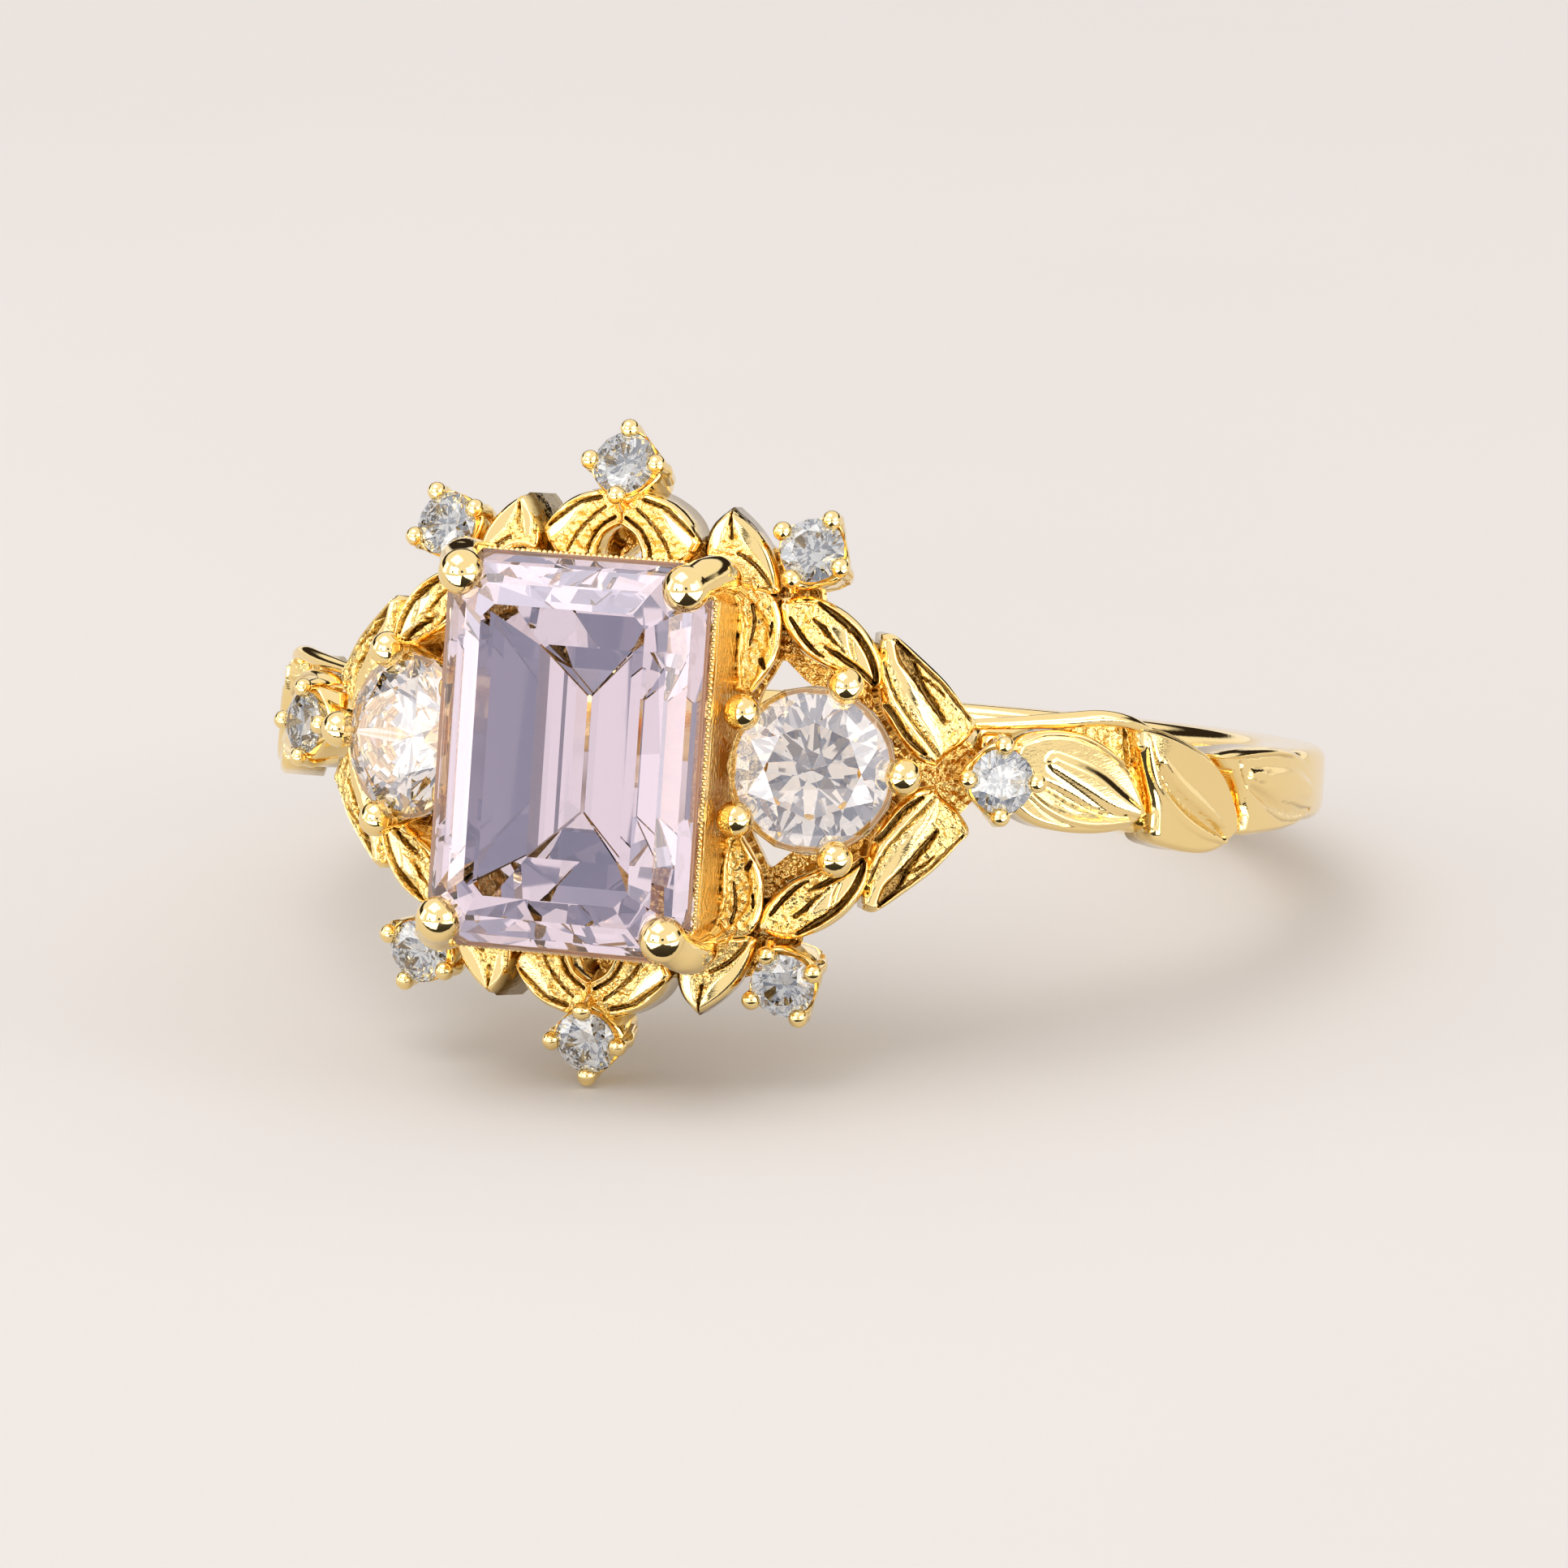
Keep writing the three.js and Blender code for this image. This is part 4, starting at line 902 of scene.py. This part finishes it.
# ---------------------------------------------------------------- table top, lights and camera
# The ring lies on a pale, faintly mottled table top in a light tent. Black cards beside the lens and
# above it draw the thin dark lines that polished gold needs, and the camera looks down a little from the
# right.
floor_bm = bmesh.new()
bmesh.ops.create_circle(floor_bm, cap_ends=True, segments=64, radius=1.2)
floor_mesh = bpy.data.meshes.new("table_top")
floor_bm.to_mesh(floor_mesh)
floor_bm.free()
table_top = bpy.data.objects.new("table_top", floor_mesh)
scene.collection.objects.link(table_top)
paper = bpy.data.materials.new("table top")
paper.use_nodes = True
tree = paper.node_tree
place = put(tree, "ShaderNodeTexCoord").outputs["Object"]
cloud = put(tree, "ShaderNodeTexNoise", Vector=place, Scale=22.0, Detail=4.0).outputs["Fac"]
tone = colour_mix(tree, cloud, (0.67, 0.635, 0.615, 1), (0.72, 0.695, 0.675, 1))
tree.links.new(tone, tree.nodes["Principled BSDF"].inputs["Base Color"])
tree.nodes["Principled BSDF"].inputs["Roughness"].default_value = 0.6
tree.nodes["Principled BSDF"].inputs["Specular IOR Level"].default_value = 0.0
floor_mesh.materials.append(paper)

world = bpy.data.worlds.new("light tent")
scene.world = world
world.use_nodes = True
sky = world.node_tree
direction = put(sky, "ShaderNodeTexCoord").outputs["Generated"]
up = put(sky, "ShaderNodeSeparateXYZ", Vector=direction).outputs["Z"]
front = put(sky, "ShaderNodeVectorMath", {"operation": "DOT_PRODUCT"}, _0=direction, _1=(0.37, -0.93, 0.0))


def step(value, low, high):
    """Eases from 0 to 1 as a value goes from low to high."""
    eased_step = put(sky, "ShaderNodeMapRange", {"interpolation_type": "SMOOTHSTEP"}, Value=value,
                     From_Min=low, From_Max=high)
    return eased_step.outputs[0]


# The tent is white, with one dark gap low down behind the ring.
seam = math_node(sky, "MULTIPLY", step(up, 0.12, 0.2), step(up, 0.5, 0.4))
seam = math_node(sky, "MULTIPLY", seam, step(front.outputs["Value"], 0.1, -0.2))
tent = colour_mix(sky, seam, (1.0, 0.97, 0.955, 1), (0.03, 0.022, 0.018, 1))
sky.links.new(tent, sky.nodes["Background"].inputs["Color"])
sky.nodes["Background"].inputs["Strength"].default_value = 1.0

AIM = Vector((-0.0003, 0.0013, 0.0025))  # what the camera, the lights and the upright cards face


def facing(where):
    """Where a light or card stands, turned to face the ring."""
    where = Vector(where)
    return Matrix.Translation(where) @ (where - AIM).to_track_quat("Z", "Y").to_matrix().to_4x4()


def softbox(name, where, size, brightness, tint=(1, 1, 1)):
    light = bpy.data.lights.new(name, "AREA")
    light.shape = "RECTANGLE"
    light.size, light.size_y = size
    light.energy = brightness * math.pi * size[0] * size[1]
    light.color = tint
    lamp = bpy.data.objects.new(name, light)
    lamp.matrix_world = facing(where)
    lamp.visible_transmission = False
    scene.collection.objects.link(lamp)


softbox("overhead", (-0.08, -0.10, 0.34), (0.30, 0.24), 1.8)
softbox("left", (-0.34, -0.12, 0.12), (0.14, 0.24), 2.0, (1, 0.98, 0.95))
softbox("right", (0.36, -0.02, 0.16), (0.12, 0.22), 1.6, (1, 0.97, 0.93))

VIEW_AZIMUTH = math.radians(21.72)


def card_material(name, **values):
    """A plain studio card, from the values of its shader's sockets."""
    material = bpy.data.materials.new(name)
    material.use_nodes = True
    for socket, value in values.items():
        material.node_tree.nodes["Principled BSDF"].inputs[socket.replace("_", " ")].default_value = value
    return material


black = card_material("black card", Base_Color=(0.012, 0.009, 0.006, 1), Roughness=1.0)
grey = card_material("grey card", Base_Color=(0.02, 0.02, 0.02, 1), Emission_Color=(0.62, 0.68, 0.85, 1),
                     Emission_Strength=0.42)
bright = card_material("lit card", Emission_Color=(1.0, 0.985, 0.96, 1), Emission_Strength=2.6)


def card(name, place, size, material, in_stones=False):
    """A flat card that shows in polished surfaces, or else only inside the cut stones."""
    bm = bmesh.new()
    bmesh.ops.create_grid(bm, x_segments=1, y_segments=1, size=0.5)
    bmesh.ops.transform(bm, matrix=place @ Matrix.Diagonal((*size, 1, 1)), verts=bm.verts)
    mesh = bpy.data.meshes.new(name)
    bm.to_mesh(mesh)
    bm.free()
    mesh.materials.append(material)
    made = bpy.data.objects.new(name, mesh)
    made.visible_camera = made.visible_shadow = made.visible_diffuse = False
    made.visible_transmission = in_stones
    made.visible_glossy = not in_stones
    scene.collection.objects.link(made)


def flat_before(across, away, height):
    """A place on the table before the ring: across the camera's line, and away from the ring along it."""
    return Matrix.Rotation(VIEW_AZIMUTH, 4, "Z") @ Matrix.Translation((across, -away, height))


card("black_floor_card", flat_before(0, 0.064, 0.0003), (0.160, 0.104), black)
card("lit_floor_card_left", flat_before(-0.041, 0.062, 0.0006), (0.068, 0.096), bright)
card("lit_floor_card_right", flat_before(0.041, 0.062, 0.0006), (0.068, 0.096), bright)
card("grey_floor_card", flat_before(0, 0.050, 0.0009), (0.110, 0.070), grey, in_stones=True)
# Upright grey strips in a half circle before the ring give the cut stones their dark facets.
STRIP_WIDTHS = (0.0016, 0.0046, 0.0024, 0.0038)
STRIP_HEIGHT = 0.110
STRIP_DISTANCE = 0.115
for i, degrees in enumerate(range(-54, 78, 3)):
    azimuth = math.radians(degrees)
    where = AIM + Vector((math.sin(azimuth), -math.cos(azimuth), 0.28)) * STRIP_DISTANCE
    size = (STRIP_WIDTHS[i % len(STRIP_WIDTHS)], STRIP_HEIGHT)
    card(f"grey_strip_{i}", facing(where), size, grey, in_stones=True)
card("lens_card", facing((0.050, -0.126, 0.044)), (0.026, 0.026), black)
card("black_left_card", facing((-0.034, -0.112, 0.048)), (0.104, 0.070), black)
card("lit_left_card", facing((-0.033, -0.108, 0.047)), (0.094, 0.060), bright)
card("black_gap_card", facing((-0.0405, -0.1015, 0.0285)), (0.016, 0.016), black)
card("black_right_card", facing((0.104, -0.058, 0.048)), (0.084, 0.070), black)
card("lit_right_card", facing((0.100, -0.056, 0.047)), (0.074, 0.060), bright)

VIEW_ELEVATION = math.radians(16.87)
VIEW_ROLL = math.radians(-1.69)
VIEW_DISTANCE = 0.15294
VIEW_WIDTH = math.radians(11.03)
view_back = Vector((
    math.sin(VIEW_AZIMUTH) * math.cos(VIEW_ELEVATION),
    -math.cos(VIEW_AZIMUTH) * math.cos(VIEW_ELEVATION),
    math.sin(VIEW_ELEVATION),
))
level = Vector((math.cos(VIEW_AZIMUTH), math.sin(VIEW_AZIMUTH), 0))
right = Matrix.Rotation(VIEW_ROLL, 3, view_back) @ level
view = Matrix((right, view_back.cross(right), view_back)).transposed().to_4x4()
camera = bpy.data.objects.new("camera", bpy.data.cameras.new("camera"))
camera.data.sensor_width = 36
camera.data.angle = VIEW_WIDTH
camera.data.clip_start = 0.01
camera.data.clip_end = 20
camera.matrix_world = Matrix.Translation(AIM + view_back * VIEW_DISTANCE) @ view
scene.collection.objects.link(camera)
scene.camera = camera
scene.view_settings.view_transform = "Standard"
scene.cycles.max_bounces = 20
scene.cycles.glossy_bounces = 12
scene.cycles.transmission_bounces = 20
